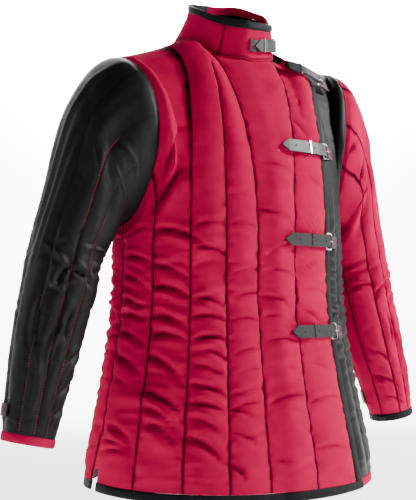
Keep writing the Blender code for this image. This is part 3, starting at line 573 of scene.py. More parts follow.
# %% [markdown]
# ## Quilting, puckers and creases
# A quilted channel swells between its two seams. The thread gathers the cloth, so short puckers run out of
# each seam, and where the body bends at the waist the channels crease across. The puckers come from one
# small lattice of seeded numbers read smoothly, the small creases from seeded draws, and the main ones
# from tables that place each.

# %% Relief of the quilted cloth
LATTICE = np.random.default_rng(11).uniform(-1, 1, (64, 64))
# A seam drifts sideways, and its puckers reach into the channel
DRIFT = 0.0009
PUCKER_REACH = 0.011
SEAM_TIGHT = 0.0022
# A crease: width of its trough, place and width of its ridges, and its bow, as shares of width and length
TROUGH, RIDGE_AT, RIDGE_WIDE, BOW = 0.65, 2.1, 1.2, 0.12
CREASE_DEEP = 1.6
print("lattice", LATTICE.shape)


def wander(x, y):
    """Smooth numbers from -1 to 1 over a plane."""
    x, y = np.broadcast_arrays(x, y)
    i, j = np.floor(x).astype(int), np.floor(y).astype(int)
    a, b = ease(x - i), ease(y - j)
    low = LATTICE[i % 64, j % 64] * (1 - a) + LATTICE[(i + 1) % 64, j % 64] * a
    high = LATTICE[i % 64, (j + 1) % 64] * (1 - a) + LATTICE[(i + 1) % 64, (j + 1) % 64] * a
    return low * (1 - b) + high * b


def waver(z, s):
    """Small sideways drift of a seam, where its puckers pull it."""
    return DRIFT * wander(z / 0.014, s / 0.031)


def channels(s, seams):
    """Number of the channel, share of the way across it, and distance to its nearer seam."""
    i = np.clip(np.searchsorted(seams, s, side="right") - 1, 0, len(seams) - 2)
    width = seams[i + 1] - seams[i]
    t = np.clip((s - seams[i]) / width, 0, 1)
    return i, t, np.minimum(t, 1 - t) * width


def fold_marks(rows, s, z):
    """Creases with a narrow trough and a soft ridge on each side."""
    total = np.zeros(np.broadcast(s, z).shape)
    for s0, z0, turn, length, width, depth in rows:
        near = (np.abs(s - s0) < length) & (np.abs(z - z0) < length)
        if not near.any():
            continue
        along, across = turned(s[near] - s0, z[near] - z0, turn)
        across = across + BOW * length * ((2 * along / length) ** 2 - 0.3)
        ends = np.clip(1 - (2 * along / length) ** 2, 0, 1)
        trough = np.exp(-np.abs(across) / (TROUGH * width))
        ridge = np.exp(-((np.abs(across) - RIDGE_AT * width) / (RIDGE_WIDE * width)) ** 2)
        total[near] += CREASE_DEEP * depth * (trough - 0.5 * ridge) * ends
    return total


def cross_creases(seams, low, high, seed, busy):
    """Similar creases across every channel, more of them where `busy` is high."""
    draw = np.random.default_rng(seed)
    rows = []
    for a, b in zip(seams, seams[1:]):
        z = low + draw.uniform(0, 0.02)
        while z < high:
            strength = busy(z)
            width = b - a
            length = width * draw.uniform(0.55, 1.05)
            start = draw.choice([0, 1])
            middle = a + length / 2 if start else b - length / 2
            turn = draw.normal(-8 if start else 8, 14)
            depth = -draw.uniform(0.0016, 0.0038) * strength
            rows.append((middle, z, turn, length * 1.1, draw.uniform(0.0028, 0.0048), depth))
            z += draw.uniform(0.014, 0.034) / max(strength, 0.3)
    return rows


def quilting(s, z, seams, puff, pucker, crinkle, marks, grain=(0.045, 0.013)):
    """Relief over the wall's base surface, and how near each point is to a seam, raised in crease troughs,
    for painted shade.
    """
    i, t, d = channels(s - waver(z, s), seams)
    crown = np.sin(math.pi * t) ** 0.6
    side = np.where(t < 0.5, 0.0, 31.0)
    gathers = wander(z / 0.0085 + 5 * i, 7.0 * i + side) + 0.6 * wander(z / 0.019 + 3 * i, 9.0 * i + side)
    gathers = gathers + 0.7 * wander(z / 0.0052 + 5 * i, 5.0 * i + side)
    reach = np.exp(-d / PUCKER_REACH) * (1 - np.exp(-(d / SEAM_TIGHT) ** 2))
    fine = wander(s * 1.7 / grain[0], z * 2 / grain[1] + 3.0 * i)
    ripple = wander(s / grain[0] + 2.0 * i, z / grain[1]) + 0.5 * fine
    relief = crown * puff + pucker * gathers * reach + crinkle * ripple * crown
    folds = fold_marks(marks, s, z) * ease(d / 0.005)
    # Painted shade: the troughs of the creases are darkened through the seam value, and the seams themselves
    # get painted shade with some dust
    shade = 0.6 * np.clip(-folds / 0.0045, 0, 1)
    return relief + folds, np.maximum(np.exp(-(d / 0.0014) ** 2), shade)

# %% [markdown]
# ## Building a wall of cloth
# A panel is a closed wall between two grids of points, an outer one with all the relief and a plain inner
# one. Building it from numbers keeps the seams exact, which a sculpted mesh would lose.

# %% Wall builder
SHARP_ANGLE = math.radians(48)


def add_piece(name, points, faces, finish, uv=None, seam=None):
    mesh = bpy.data.meshes.new(name)
    mesh.from_pydata(np.asarray(points).tolist(), [], faces)
    work = bmesh.new()
    work.from_mesh(mesh)
    bmesh.ops.recalc_face_normals(work, faces=work.faces)
    work.to_mesh(mesh)
    work.free()
    if uv is not None:
        corner = np.zeros(len(mesh.loops), int)
        mesh.loops.foreach_get("vertex_index", corner)
        mesh.uv_layers.new(name="cloth").data.foreach_set("uv", uv[corner].astype(np.float32).ravel())
    # The seam value darkens the cloth's colour in the shader: painted shade, with some dust, at seams and in
    # crease troughs
    if seam is not None:
        mesh.attributes.new("seam", "FLOAT", "POINT").data.foreach_set("value", seam.astype(np.float32))
    mesh.materials.append(finish)
    mesh.polygons.foreach_set("use_smooth", [True] * len(mesh.polygons))
    mesh.set_sharp_from_angle(angle=SHARP_ANGLE)
    made = bpy.data.objects.new(name, mesh)
    bpy.context.scene.collection.objects.link(made)
    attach(made, "root")
    return made


def wall_faces(rows, cols, wrap):
    spot = np.arange(rows * cols).reshape(rows, cols)
    if wrap:
        spot = np.concatenate([spot, spot[:, :1]], axis=1)
    n = rows * cols
    a, b, c, d = spot[:-1, :-1], spot[:-1, 1:], spot[1:, 1:], spot[1:, :-1]
    faces = [np.stack([a, b, c, d], -1).reshape(-1, 4), np.stack([a, d, c, b], -1).reshape(-1, 4) + n]
    for line, flip in ((spot[0], 1), (spot[-1], 0)) + (() if wrap else ((spot[:, 0], 0), (spot[:, -1], 1))):
        e, f = line[:-1], line[1:]
        faces.append(np.stack([e, e + n, f + n, f] if flip else [e, f, f + n, e + n], -1))
    return np.concatenate(faces).tolist()


def cloth_wall(name, outer, inner, finish, across, upward, seam, replaced, wrap=False):
    rows, cols = outer.shape[:2]
    points = np.concatenate([outer.reshape(-1, 3), inner.reshape(-1, 3)])
    uv = np.stack([across.ravel(), upward.ravel()], -1)
    made = add_piece(name, points, wall_faces(rows, cols, wrap), finish, np.concatenate([uv, uv]),
                     np.concatenate([seam.ravel(), 0 * seam.ravel()]))
    if replaced:
        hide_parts(*replaced)
    upward_step, across_step = inner[1:, :-1] - inner[:-1, :-1], inner[:-1, 1:] - inner[:-1, :-1]
    area = np.linalg.norm(np.cross(upward_step, across_step), axis=-1).sum()
    print(name, "cloth area %.4f m2" % area)
    return made


def spread(seams, per_channel):
    """Columns that crowd towards each seam, where the cloth turns sharply."""
    turn = (1 - np.cos(np.linspace(0, math.pi, per_channel, endpoint=False))) / 2
    parts = [a + (b - a) * turn for a, b in zip(seams, seams[1:])]
    return np.concatenate(parts + [[seams[-1]]])

# %% [markdown]
# ## Stitches
# Each seam is a row of single stitches. One stitch is a small bead along the seam, a thread's width high,
# pressed into the valley. A row of beads reads as sewing where a drawn line would not.

# %% Stitch builder
STITCH = 0.0030
STITCH_STEP = 0.0042
THREAD_R = 0.00042
THREAD_OUT = 0.0003
BEAD_SIDES = 5


def stitch_rows(name, lines, finish, radius=THREAD_R):
    """Beads along lines of points with outward directions."""
    points, faces = [], []
    for path, out in lines:
        far = np.concatenate([[0], np.cumsum(np.linalg.norm(np.diff(path, axis=0), axis=1))])
        at = np.arange(STITCH, far[-1] - STITCH / 2, STITCH_STEP)
        middle = np.stack([np.interp(at, far, path[:, i]) for i in range(3)], -1)
        ahead = np.stack([np.interp(at + STITCH / 2, far, path[:, i]) for i in range(3)], -1)
        along = unit(ahead - middle)
        normal = unit(np.stack([np.interp(at, far, out[:, i]) for i in range(3)], -1))
        side = unit(np.cross(along, normal))
        for m, l, u, s in zip(middle, along, normal, side):
            first = len(points)
            points.append(m - l * STITCH / 2)
            for place in (-0.3, 0.3):
                for turn in range(0, 360, 360 // BEAD_SIDES):
                    a = math.radians(turn)
                    points.append(m + l * STITCH * place + (s * math.cos(a) + u * math.sin(a)) * radius)
            points.append(m + l * STITCH / 2)
            near, far_end = first + 1, first + 1 + BEAD_SIDES
            for k in range(BEAD_SIDES):
                n = (k + 1) % BEAD_SIDES
                faces.append((first, near + n, near + k))
                faces.append((near + k, near + n, far_end + n, far_end + k))
                faces.append((far_end + BEAD_SIDES, far_end + k, far_end + n))
    print(name, len(faces) // (3 * BEAD_SIDES), "stitches")
    return add_piece(name, points, faces, finish)


def seam_line(at, w, v, proud):
    """A seam as points and outward directions, from a surface function."""
    path = at(w, v, proud + 0 * v)
    return path, unit(at(w, v, proud + 0.004 + 0 * v) - path)

# %% [markdown]
# ## The red right front
# This panel crosses to the wearer's left and lies on top. Its channels are about 60 mm wide at the side and
# 50 mm in the middle. The waist and the lower part carry most of the creases, as the cloth there is pushed
# together when the garment is worn, and the chest stays almost smooth.

# %% Right front
PANEL_COLUMNS = 15
# Middle across and up, turn from level, length, width and depth of each main crease
FRONT_CREASES = [
    (-0.187, -0.320, -15, 0.114, 0.0050, -0.0045), (-0.261, -0.357, -11, 0.070, 0.0045, -0.0035),
    (-0.136, -0.304, 6, 0.060, 0.0040, -0.0022), (-0.074, -0.305, -7, 0.060, 0.0040, -0.0018),
    (-0.136, -0.343, -9, 0.067, 0.0040, -0.0030), (-0.070, -0.377, 7, 0.065, 0.0040, -0.0018),
    (-0.016, -0.377, -2, 0.063, 0.0040, -0.0018), (-0.200, -0.376, -21, 0.081, 0.0050, -0.0034),
    (-0.197, -0.407, -15, 0.086, 0.0050, -0.0038), (-0.134, -0.424, -16, 0.069, 0.0050, -0.0036),
    (-0.132, -0.449, -10, 0.066, 0.0045, -0.0030), (-0.067, -0.414, 7, 0.063, 0.0040, -0.0024),
    (-0.016, -0.423, -21, 0.056, 0.0040, -0.0022), (-0.072, -0.453, -3, 0.061, 0.0040, -0.0024),
    (-0.200, -0.452, -16, 0.080, 0.0050, -0.0030), (-0.198, -0.478, -9, 0.080, 0.0050, -0.0034),
    (-0.133, -0.482, -3, 0.072, 0.0050, -0.0036), (-0.267, -0.427, -21, 0.066, 0.0050, -0.0035),
    (-0.262, -0.448, -12, 0.066, 0.0050, -0.0032), (-0.264, -0.392, -27, 0.069, 0.0050, -0.0032),
    (0.053, -0.446, -28, 0.049, 0.0045, -0.0022), (-0.016, -0.485, 4, 0.056, 0.0040, -0.0024),
    (-0.073, -0.501, 10, 0.057, 0.0040, -0.0028), (-0.035, -0.284, -17, 0.039, 0.0040, -0.0012),
    (-0.121, -0.506, -30, 0.048, 0.0045, -0.0030), (-0.202, -0.524, -36, 0.096, 0.0055, -0.0038),
    (-0.135, -0.558, -20, 0.073, 0.0050, -0.0036), (-0.136, -0.583, -16, 0.062, 0.0050, -0.0034),
    (-0.199, -0.576, -34, 0.085, 0.0055, -0.0040), (-0.197, -0.601, -39, 0.083, 0.0055, -0.0040),
    (-0.194, -0.623, -43, 0.069, 0.0060, -0.0040), (-0.139, -0.643, -38, 0.080, 0.0055, -0.0036),
    (-0.139, -0.609, -27, 0.054, 0.0050, -0.0030), (-0.092, -0.566, -16, 0.021, 0.0040, -0.0022),
    (-0.078, -0.583, 12, 0.059, 0.0045, -0.0030), (-0.088, -0.593, -19, 0.042, 0.0040, -0.0024),
    (-0.084, -0.630, -28, 0.053, 0.0045, -0.0028), (-0.096, -0.677, -45, 0.045, 0.0045, -0.0028),
    (-0.014, -0.575, 12, 0.079, 0.0045, -0.0028), (0.055, -0.579, 6, 0.085, 0.0045, -0.0024),
    (0.054, -0.655, -3, 0.090, 0.0045, -0.0022), (-0.037, -0.668, -10, 0.040, 0.0040, -0.0018),
    (-0.257, -0.628, -41, 0.058, 0.0055, -0.0036), (-0.268, -0.641, -11, 0.057, 0.0050, -0.0032),
    (-0.274, -0.653, 9, 0.058, 0.0050, -0.0026), (-0.200, -0.188, 53, 0.113, 0.0080, -0.0045),
    (-0.206, -0.248, 44, 0.112, 0.0090, -0.0050), (-0.016, -0.209, -9, 0.060, 0.0050, -0.0018),
    (0.032, -0.137, -39, 0.058, 0.0050, -0.0016), (-0.016, -0.288, -19, 0.078, 0.0045, -0.0018),
    (0.063, -0.229, -14, 0.085, 0.0050, -0.0016), (-0.078, -0.260, -6, 0.062, 0.0050, -0.0010),
    (-0.266, -0.481, -20, 0.082, 0.0050, -0.0030), (-0.268, -0.520, -26, 0.082, 0.0055, -0.0032),
    (-0.010, -0.529, 6, 0.063, 0.0050, -0.0014), (0.017, -0.628, -42, 0.046, 0.0050, -0.0016),
    (-0.070, -0.531, 8, 0.051, 0.0050, -0.0016), (-0.135, -0.528, -23, 0.063, 0.0050, -0.0026),
]


def front_busy(z):
    """How thickly small creases lie at a height, most at the waist."""
    return 0.18 + 0.95 * math.exp(-((z + 0.42) / 0.12) ** 2) + 0.45 * math.exp(-((z + 0.62) / 0.09) ** 2)


def panel(name, at, seams, finish, side_w, marks, amounts, pressed=None):
    """A quilted front or back. `amounts` are its puff, pucker and crinkle."""
    w = np.clip(spread(seams, PANEL_COLUMNS), seams[0] + side_w[0], seams[-1] - side_w[1])
    for corner in (-SHOULDER_W, -NECK_W, NECK_W, SHOULDER_W):
        if seams[0] < corner < seams[-1]:
            w[np.argmin(np.abs(w - corner))] = corner
    w, v = np.meshgrid(w, panel_rows())
    v[-1] = 1 - GAP_V
    height = at(w, v, 0 * v)[..., 2]
    fade = top_fade_of(at, w, v)
    s, s_seams = w * CLOTH_W, seams * CLOTH_W
    puff, pucker, crinkle = amounts
    wave = 0.25 + 0.75 * np.vectorize(front_busy)(height)
    relief, seam = quilting(s, height, s_seams, puff, pucker * (0.4 + 0.6 * wave), crinkle * wave, marks)
    relief = relief * fade * (0.35 + 0.65 * ease((v - HEM_V) / 0.05))
    if pressed is not None:
        relief = pressed(relief, w, v)
    w_in = np.clip(w, seams[0] + MITRE_W, seams[-1] - MITRE_W)
    v_in = np.minimum(v, 1 - MITRE_V)
    made = cloth_wall(name, at(w, v, relief), at(w_in, v_in, -WALL + 0 * w), finish, s, height, seam,
                      [name.replace("_cloth", "")])
    return made


def top_fade_of(at, w, v):
    """Relief dies out in the last 30 mm below a top seam."""
    edge = at(w, np.ones_like(v), 0 * v)
    return ease(np.linalg.norm(edge - at(w, v, 0 * v), axis=-1) / 0.030)


def panel_rows():
    low = np.linspace(HEM_V + GAP_V, CHEST_V, 160, endpoint=False)
    return np.concatenate([low, np.linspace(CHEST_V, 1, 130)])


right_seams = np.array([-s for s in SEAMS] + [CROSSOVER_SEAM, EDGE_W])
small = cross_creases(right_seams * CLOTH_W, -0.70, -0.20, 3, lambda z: 0.5 * front_busy(z))
right_front = panel("front_right_cloth", front_right_at, right_seams, RED, (GAP_W, 0.0),
                    FRONT_CREASES + small, (PUFF, 0.0027, 0.0013))

# %% [markdown]
# ## The black left front and the backs
# The left front hides under the red one, so it lies flat there and swells only where it shows. The backs
# meet at the centre. Their creases are of the same kind as the front's, placed by another draw.

# %% Left front and backs
left_seams = np.array([UNDERLAP_W] + list(SEAMS[::-1]))


def left_at(w, v, raised):
    return plain_at(-1, w, v, raised)


def back_at(w, v, raised):
    return plain_at(1, w, v, raised)


def plain_at(face, w, v, raised):
    base, out = creased(face, vented(w, v), v)
    return base + out * raised[..., None]


def under_red(relief, w, v):
    """The padding is pressed flat where the red front lies on it."""
    cover = hidden(w, v)
    return relief * (1 - cover) + np.clip(relief, 0, FLAT_PUFF) * cover


marks = cross_creases(left_seams * CLOTH_W, -0.70, -0.20, 5, front_busy)
panel("front_left_cloth", left_at, left_seams, BLACK, (0.0, GAP_W), marks, (PUFF, 0.0013, 0.0008),
      under_red)
for side, word, finish, seed in ((-1, "right", RED, 7), (1, "left", BLACK, 9)):
    seams = np.sort(side * np.array([0.0] + list(SEAMS)))
    marks = cross_creases(seams * CLOTH_W, -0.70, -0.18, seed, front_busy)
    ends = (GAP_W, GAP_W / 2) if side < 0 else (GAP_W / 2, GAP_W)
    panel("back_%s_cloth" % word, back_at, seams, finish, ends, marks, (PUFF, 0.0027, 0.0014))

# %% [markdown]
# ## Sleeves
# Each sleeve has five channels over the top and three under the arm. The cap is bunched where the arm
# hangs, and long folds run down the outside of the upper arm.

# %% Sleeves
CUFF_T = 0.968
TOP_ANGLES = (-105, -50, -6, 42, 76, 105)
UNDER_ANGLES = (105, 155, 205, 255)
ARM_R = 0.055
SLEEVE_COLUMNS = 24
SLEEVE_ROWS = 170
CAP_BUNCH = 0.0042
# Main creases of both sleeves: way round the arm and down it, turn, length, width and depth
SLEEVE_CREASES = [
    (0.078, -0.044, 70, 0.027, 0.0040, -0.0045), (0.090, -0.021, 73, 0.038, 0.0045, -0.0050),
    (0.059, -0.174, -60, 0.032, 0.0050, -0.0030), (0.071, -0.155, 83, 0.105, 0.0042, 0.0024),
    (0.091, -0.091, 45, 0.071, 0.0042, 0.0034), (0.097, -0.073, 9, 0.017, 0.0040, -0.0040),
    (0.100, -0.135, 20, 0.036, 0.0042, 0.0030), (0.046, -0.349, -44, 0.078, 0.0042, 0.0024),
    (0.085, -0.373, -22, 0.066, 0.0050, -0.0036), (0.057, -0.382, 80, 0.048, 0.0045, -0.0030),
    (0.056, -0.400, -28, 0.045, 0.0042, 0.0023), (0.118, -0.326, -5, 0.096, 0.0042, 0.0023),
    (0.123, -0.360, 3, 0.051, 0.0040, -0.0030), (0.086, -0.453, 89, 0.072, 0.0050, -0.0030),
    (0.073, -0.485, 76, 0.099, 0.0042, 0.0023), (0.117, -0.506, 46, 0.069, 0.0050, -0.0034),
    (0.037, -0.451, 88, 0.121, 0.0042, 0.0019), (0.120, -0.558, 35, 0.073, 0.0050, -0.0030),
    (0.056, -0.566, -89, 0.126, 0.0042, 0.0019), (0.110, -0.609, 42, 0.066, 0.0050, -0.0026),
    (0.037, -0.525, -90, 0.121, 0.0042, 0.0018),
]


# Long soft folds down the arm: place round it at the top and foot, heights, width and depth
LONG_FOLDS = [
    (0.014, -0.006, -0.060, -0.340, 0.0034, 0.0034), (0.026, 0.011, -0.150, -0.370, 0.0034, 0.0032),
    (0.038, 0.020, -0.170, -0.360, 0.0034, 0.0030), (0.020, 0.003, -0.090, -0.350, 0.0040, -0.0026),
    (0.032, 0.016, -0.150, -0.360, 0.0040, -0.0026), (0.052, 0.040, -0.014, -0.130, 0.0040, 0.0026),
    (0.044, 0.030, -0.012, -0.110, 0.0036, 0.0030), (0.036, 0.021, -0.012, -0.100, 0.0036, 0.0026),
    (0.061, 0.052, -0.016, -0.150, 0.0042, 0.0020), (0.026, 0.012, -0.012, -0.090, 0.0038, 0.0024),
    (0.058, 0.046, -0.120, -0.300, 0.0080, -0.0030), (0.004, -0.014, -0.030, -0.220, 0.0050, 0.0022),
    (-0.030, -0.040, -0.020, -0.200, 0.0050, 0.0024), (-0.050, -0.048, -0.050, -0.260, 0.0060, -0.0024),
]


def long_folds(s, z, shift):
    total = 0 * s
    for top, foot, high, low, width, depth in LONG_FOLDS:
        share = np.clip((high - z) / (high - low), 0, 1)
        middle = top + (foot - top) * share + shift + 0.0016 * wander(z / 0.05, 40 * top)
        ends = np.sin(math.pi * share) ** 0.6
        total = total + 0.8 * depth * np.exp(-((s - middle) / (1.25 * width)) ** 2) * ends
    return total


def sleeve_piece(side, word, part, seams, finish, marks):
    seams = np.array(seams, float)
    across = [np.linspace(a, b, SLEEVE_COLUMNS, endpoint=False) for a, b in zip(seams, seams[1:])]
    angle = np.clip(np.concatenate(across + [seams[-1:]]), seams[0] + 0.03, seams[-1] - 0.03)
    t = np.concatenate([[0.0], np.linspace(0.006, CUFF_T - 0.0001, SLEEVE_ROWS)])
    angle, t = np.meshgrid(angle, t)
    s, length = np.radians(angle) * ARM_R, -t * SLEEVE_LENGTH
    relief, seam = quilting(s, length, np.radians(seams) * ARM_R, SLEEVE_PUFF * 0.8, 0.0009, 0.0008, marks,
                            (0.014, 0.060))
    relief = relief * ease((t - 0.01) / 0.16) * (0.45 + 0.55 * ease((t - 0.3) / 0.2))
    relief = relief + long_folds(s, length, 0.0 if side < 0 else -0.006) * ease(t / 0.03)
    relief = relief * (0.3 + 0.7 * ease((0.97 - t) / 0.06))
    relief = relief + CAP_BUNCH * ease(t / 0.022) * (1 - ease((t - 0.03) / 0.14))
    inner = sleeve_at(side, angle, np.maximum(t, SLEEVE_MITRE_T), -WALL + 0 * angle)
    name = "sleeve_%s_%s" % (word, part)
    outer = sleeve_at(side, angle, t, relief)
    made = cloth_wall(name + "_cloth", outer, inner, finish, s, length, seam, [name])


def sleeve_busy(z):
    return 0.20 + 0.15 * math.exp(-((z + 0.10) / 0.07) ** 2) + 0.30 * math.exp(-((z + 0.37) / 0.06) ** 2)


SLEEVE_PARTS = (("top", TOP_ANGLES, (0.25, 0.66), 0.138), ("under", UNDER_ANGLES, (0.17, 0.52), 0.060))
for side, word, finish, seed in ((-1, "right", BLACK, 21), (1, "left", RED, 23)):
    for part, seams, flat, area in SLEEVE_PARTS:
        places = np.radians(np.array(seams)) * ARM_R
        marks = cross_creases(places, -0.64, -0.06, seed + len(seams), sleeve_busy)
        # The main creases lie a little differently on each arm
        marks += [(a - 0.004 * side, z - 0.008 * side, *more) for a, z, *more in SLEEVE_CREASES]
        sleeve_piece(side, word, part, seams, finish, marks)

# %% [markdown]
# ## Collar
# The collar is a stiffer band of two halves, sewn together at the centre back, with fine upright folds.
# One row of stitches crosses the right half near the front, by the angle of `COLLAR_SEAM`.

# %% Collar
COLLAR_SEAM = -40
COLLAR_R = 0.075
COLLAR_HEIGHT = 0.065


def collar_piece(word, finish, angles, outside):
    h = np.linspace(0, RIM_H, 26)
    a, h = np.meshgrid(angles, h)
    up = collar_lift(a) if outside else 0 * a
    along = np.radians(a) * COLLAR_R
    bulge = COLLAR_PUFF * np.sin(math.pi * h / RIM_H) * (0.6 + 0.5 * wander(along / 0.012, h * 2.0))
    bulge = bulge if outside else bulge * ease((a - COLLAR_END) / 12)
    # Darker along the stitch row near the neck and along the row across the right half: painted shade, with
    # some dust
    seam = 0.8 * np.exp(-((h - 0.05) / 0.02) ** 2)
    if outside:
        cut = np.exp(-((a - COLLAR_SEAM) / 1.0) ** 2)
        bulge, seam = bulge - 0.0009 * cut, np.maximum(seam, cut)
    name = "collar_" + word
    made = cloth_wall(name + "_cloth", collar_at(a, h, up, bulge), collar_at(a, h, up, -WALL + 0 * a), finish,
                      along, h * COLLAR_HEIGHT, seam, [name])


collar_piece("right", RED, np.linspace(-180 + 0.15, COLLAR_END, 190), True)
collar_piece("left", BLACK, np.linspace(180 - 0.15, COLLAR_UNDER, 150), False)

# %% [markdown]
# ## Bindings
# The raw edges are closed with a folded cotton tape, about 15 mm wide on the outside. It is rounder than the
# panel, a little gathered by its stitches, and sits proud of the cloth.

# %% Bindings
TAPE_SHOWN = 0.015
TAPE_COLUMNS = np.linspace(0, 1, 9)
CUFF_R = 0.037


def tape_round(b):
    """1 over the middle of the tape, and 0 at its two folds."""
    return 1 - (2 * b - 1) ** 6


def binding(name, at, across, along, finish, proud=BINDING_PROUD):
    b, l = np.meshgrid(TAPE_COLUMNS, along)
    a = across[0] + (across[1] - across[0]) * b
    tape = tape_round(b)
    gather = 0.00035 * wander(l * 60.0, b * 2.5)
    outer = at(a, l, proud * (0.25 + 0.75 * tape) + gather * tape)
    inner = at(a, l, -WALL + 0 * a)
    # Darker along the tape's stitch line: painted shade, with some dust
    stitch_dust_and_shade = 0.7 * np.exp(-((b - 0.86) / 0.05) ** 2)
    made = cloth_wall(name + "_tape", outer, inner, finish, b * TAPE_SHOWN, l, stitch_dust_and_shade, [name])


hem_side = (0.0, HEM_V)
binding("binding_hem_front_right", lambda v, w, r: front_right_at(w, v, r), hem_side,
        np.linspace(-1 + GAP_W, EDGE_W + BINDING_W, 200), BLACK_TAPE)
binding("binding_front_edge", front_right_at, (EDGE_W + GAP_W, EDGE_W + BINDING_W), panel_rows(),
        BLACK_TAPE)
binding("binding_hem_front_left", lambda v, w, r: left_at(w, v, np.minimum(r, FLAT_PUFF)), hem_side,
        np.linspace(UNDERLAP_W, 1 - GAP_W, 150), RED_TAPE)
for side, word, finish in ((-1, "right", BLACK_TAPE), (1, "left", RED_TAPE)):
    binding("binding_hem_back_" + word, lambda v, w, r: back_at(w, v, r), hem_side,
            side * np.linspace(GAP_W / 2, 1 - GAP_W, 150), finish)
rim_side = (RIM_H + 0.001, 1.0)
binding("binding_collar_right", lambda h, a, r: collar_at(a, h, collar_lift(a), r), rim_side,
        np.linspace(-180 + 0.15, COLLAR_END, 150), BLACK_TAPE)
binding("binding_collar_left", lambda h, a, r: collar_at(a, h, 0 * a, r), rim_side,
        np.linspace(180 - 0.15, COLLAR_UNDER, 120), RED_TAPE, 0.0010)
for side, word, finish in ((-1, "right", RED_TAPE), (1, "left", BLACK_TAPE)):
    a, b = np.meshgrid(np.linspace(0, 360, 120, endpoint=False), TAPE_COLUMNS)
    t = CUFF_T + (1 - CUFF_T) * b
    outer = sleeve_at(side, a, t, BINDING_PROUD * (0.25 + 0.75 * tape_round(b)))
    made = cloth_wall("binding_cuff_%s_tape" % word, outer, sleeve_at(side, a, t, -WALL + 0 * a), finish,
                      np.radians(a) * CUFF_R, b * TAPE_SHOWN, 0 * a, ["binding_cuff_" + word], True)

# %% [markdown]
# ## Sewing on the panels
# Dark thread runs down the red channels, and red thread down the black ones. Each row follows its seam,
# which drifts a little sideways where the puckers pull it.

# %% Seam stitches
def rows_of(at, seams, v):
    lines = []
    for w in seams:
        w = np.full_like(v, w)
        drift = waver(at(w, v, 0 * v)[:, 2], w * CLOTH_W) / CLOTH_W
        lines.append(seam_line(at, w + drift, v, THREAD_OUT))
    return lines


up = np.linspace(HEM_V + 0.004, 0.985, 160)
stitch_rows("stitches_front_right", rows_of(front_right_at, right_seams[1:-1], up), DARK_THREAD)
stitch_rows("stitches_back_right", rows_of(back_at, [-s for s in SEAMS[1:]], up), DARK_THREAD)
stitch_rows("stitches_back_left", rows_of(back_at, SEAMS[1:], up), RED_THREAD)
stitch_rows("stitches_front_left", rows_of(left_at, SEAMS[1:3], up), RED_THREAD)


def arm_line(side, angle, t, proud):
    return seam_line(lambda a, t, r: sleeve_at(side, a, t, r), angle, t, proud)


def collar_line(angle, h, proud):
    return seam_line(lambda a, h, r: collar_at(a, h, collar_lift(a), r), angle, h, proud)


def sleeve_row(side, angle, start):
    """One seam's stitches down the arm."""
    t = np.linspace(start, CUFF_T - 0.004, 160)
    drift = np.degrees(waver(-t * SLEEVE_LENGTH, math.radians(angle) * ARM_R) / ARM_R)
    return arm_line(side, angle + drift, t, THREAD_OUT)


# The outer seams of the upper arm are hidden in the folds of the cap
STARTS = {-50: 0.52, -6: 0.50, 42: 0.60, 76: 0.03, 105: 0.35}
for side, word, finish in ((-1, "right", RED_THREAD), (1, "left", DARK_THREAD)):
    lines = [sleeve_row(side, a, STARTS.get(a, 0.03)) for a in TOP_ANGLES[:-1] + UNDER_ANGLES[:-1]]
    round_hole = np.linspace(45, 128, 60)
    lines.append(arm_line(side, round_hole, 0 * round_hole + 0.013, 0.0004))
    stitch_rows("stitches_sleeve_" + word, lines, finish)
around = np.linspace(-178, COLLAR_END - 1.5, 160)
collar_rows = [collar_line(around, 0 * around + h, 0.0008) for h in (0.05, 0.745)]
h = np.linspace(0.03, 0.76, 30)
collar_rows.append(collar_line(0 * h + COLLAR_SEAM, h, 0.0014))
stitch_rows("stitches_collar", collar_rows, DARK_THREAD)

# %% [markdown]
# ## Straps
# The solid straps already have their real shape, so they keep it and get their finish.

# %% Strap finishes
for node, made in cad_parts.items():
    if node.startswith("strap_"):
        last = node.rsplit("_", 1)[1]
        finish = STEEL if last in ("frame", "pin", "keeper") else LEATHER
        for place in made.material_slots:
            place.material = finish
        made.data.polygons.foreach_set("use_smooth", [True] * len(made.data.polygons))
        made.data.set_sharp_from_angle(angle=math.radians(40))
        print(node, finish.name)

# %% [markdown]
# ## Holes and box stitching
# The long straps are punched for the pin; each hole is drawn as a flat near-black disc, a painted shadow.
# Their roots are sewn down with a crossed box of red thread. Both lie on the leather, so we find its surface
# with lines of sight along +Y, from in front. The stitches of the right shoulder seam are laid on the cloth
# the same way, from above.

# %% Strap details
def surface_of(made):
    points = [made.matrix_world @ v.co for v in made.data.vertices]
    return BVHTree.FromPolygons(points, [list(p.vertices) for p in made.data.polygons])


def laid_on(tree, places, towards=(0.0, 1.0, 0.0)):
    """Points and outward directions where lines of sight meet a surface."""
    hits = [tree.ray_cast(Vector(p) - Vector(towards), Vector(towards))[:2] for p in places]
    hits = [(np.array(at), np.array(n)) for at, n in hits if at is not None]
    out = np.array([n if np.dot(n, towards) < 0 else -n for _, n in hits])
    return np.array([at for at, _ in hits]), out


def middle_height(made, x):
    near = [(made.matrix_world @ v.co) for v in made.data.vertices]
    return float(np.mean([p.z for p in near if abs(p.x - x) < 0.009]))


# Holes of each strap and ends of each sewn root, across the body
HOLES = {"strap_1": (0.0272, 0.0700, 0.0900), "strap_2": (0.0227, 0.0600, 0.0860),
         "strap_3": (0.0276, 0.0600, 0.0900)}
ROOTS = {"strap_1_billet": (0.1210, 0.1360), "strap_2_billet": (0.1160, 0.1305),
         "strap_3_billet": (0.1210, 0.1360), "strap_shoulder_billet": (0.1490, 0.1640),
         "strap_collar_chape": (-0.0075, -0.0005)}
HOLE_R = 0.0019
HOLE_SIDES = 14
BOX_HALF = 0.007
CUFF_STRAP_OUT = 0.0075
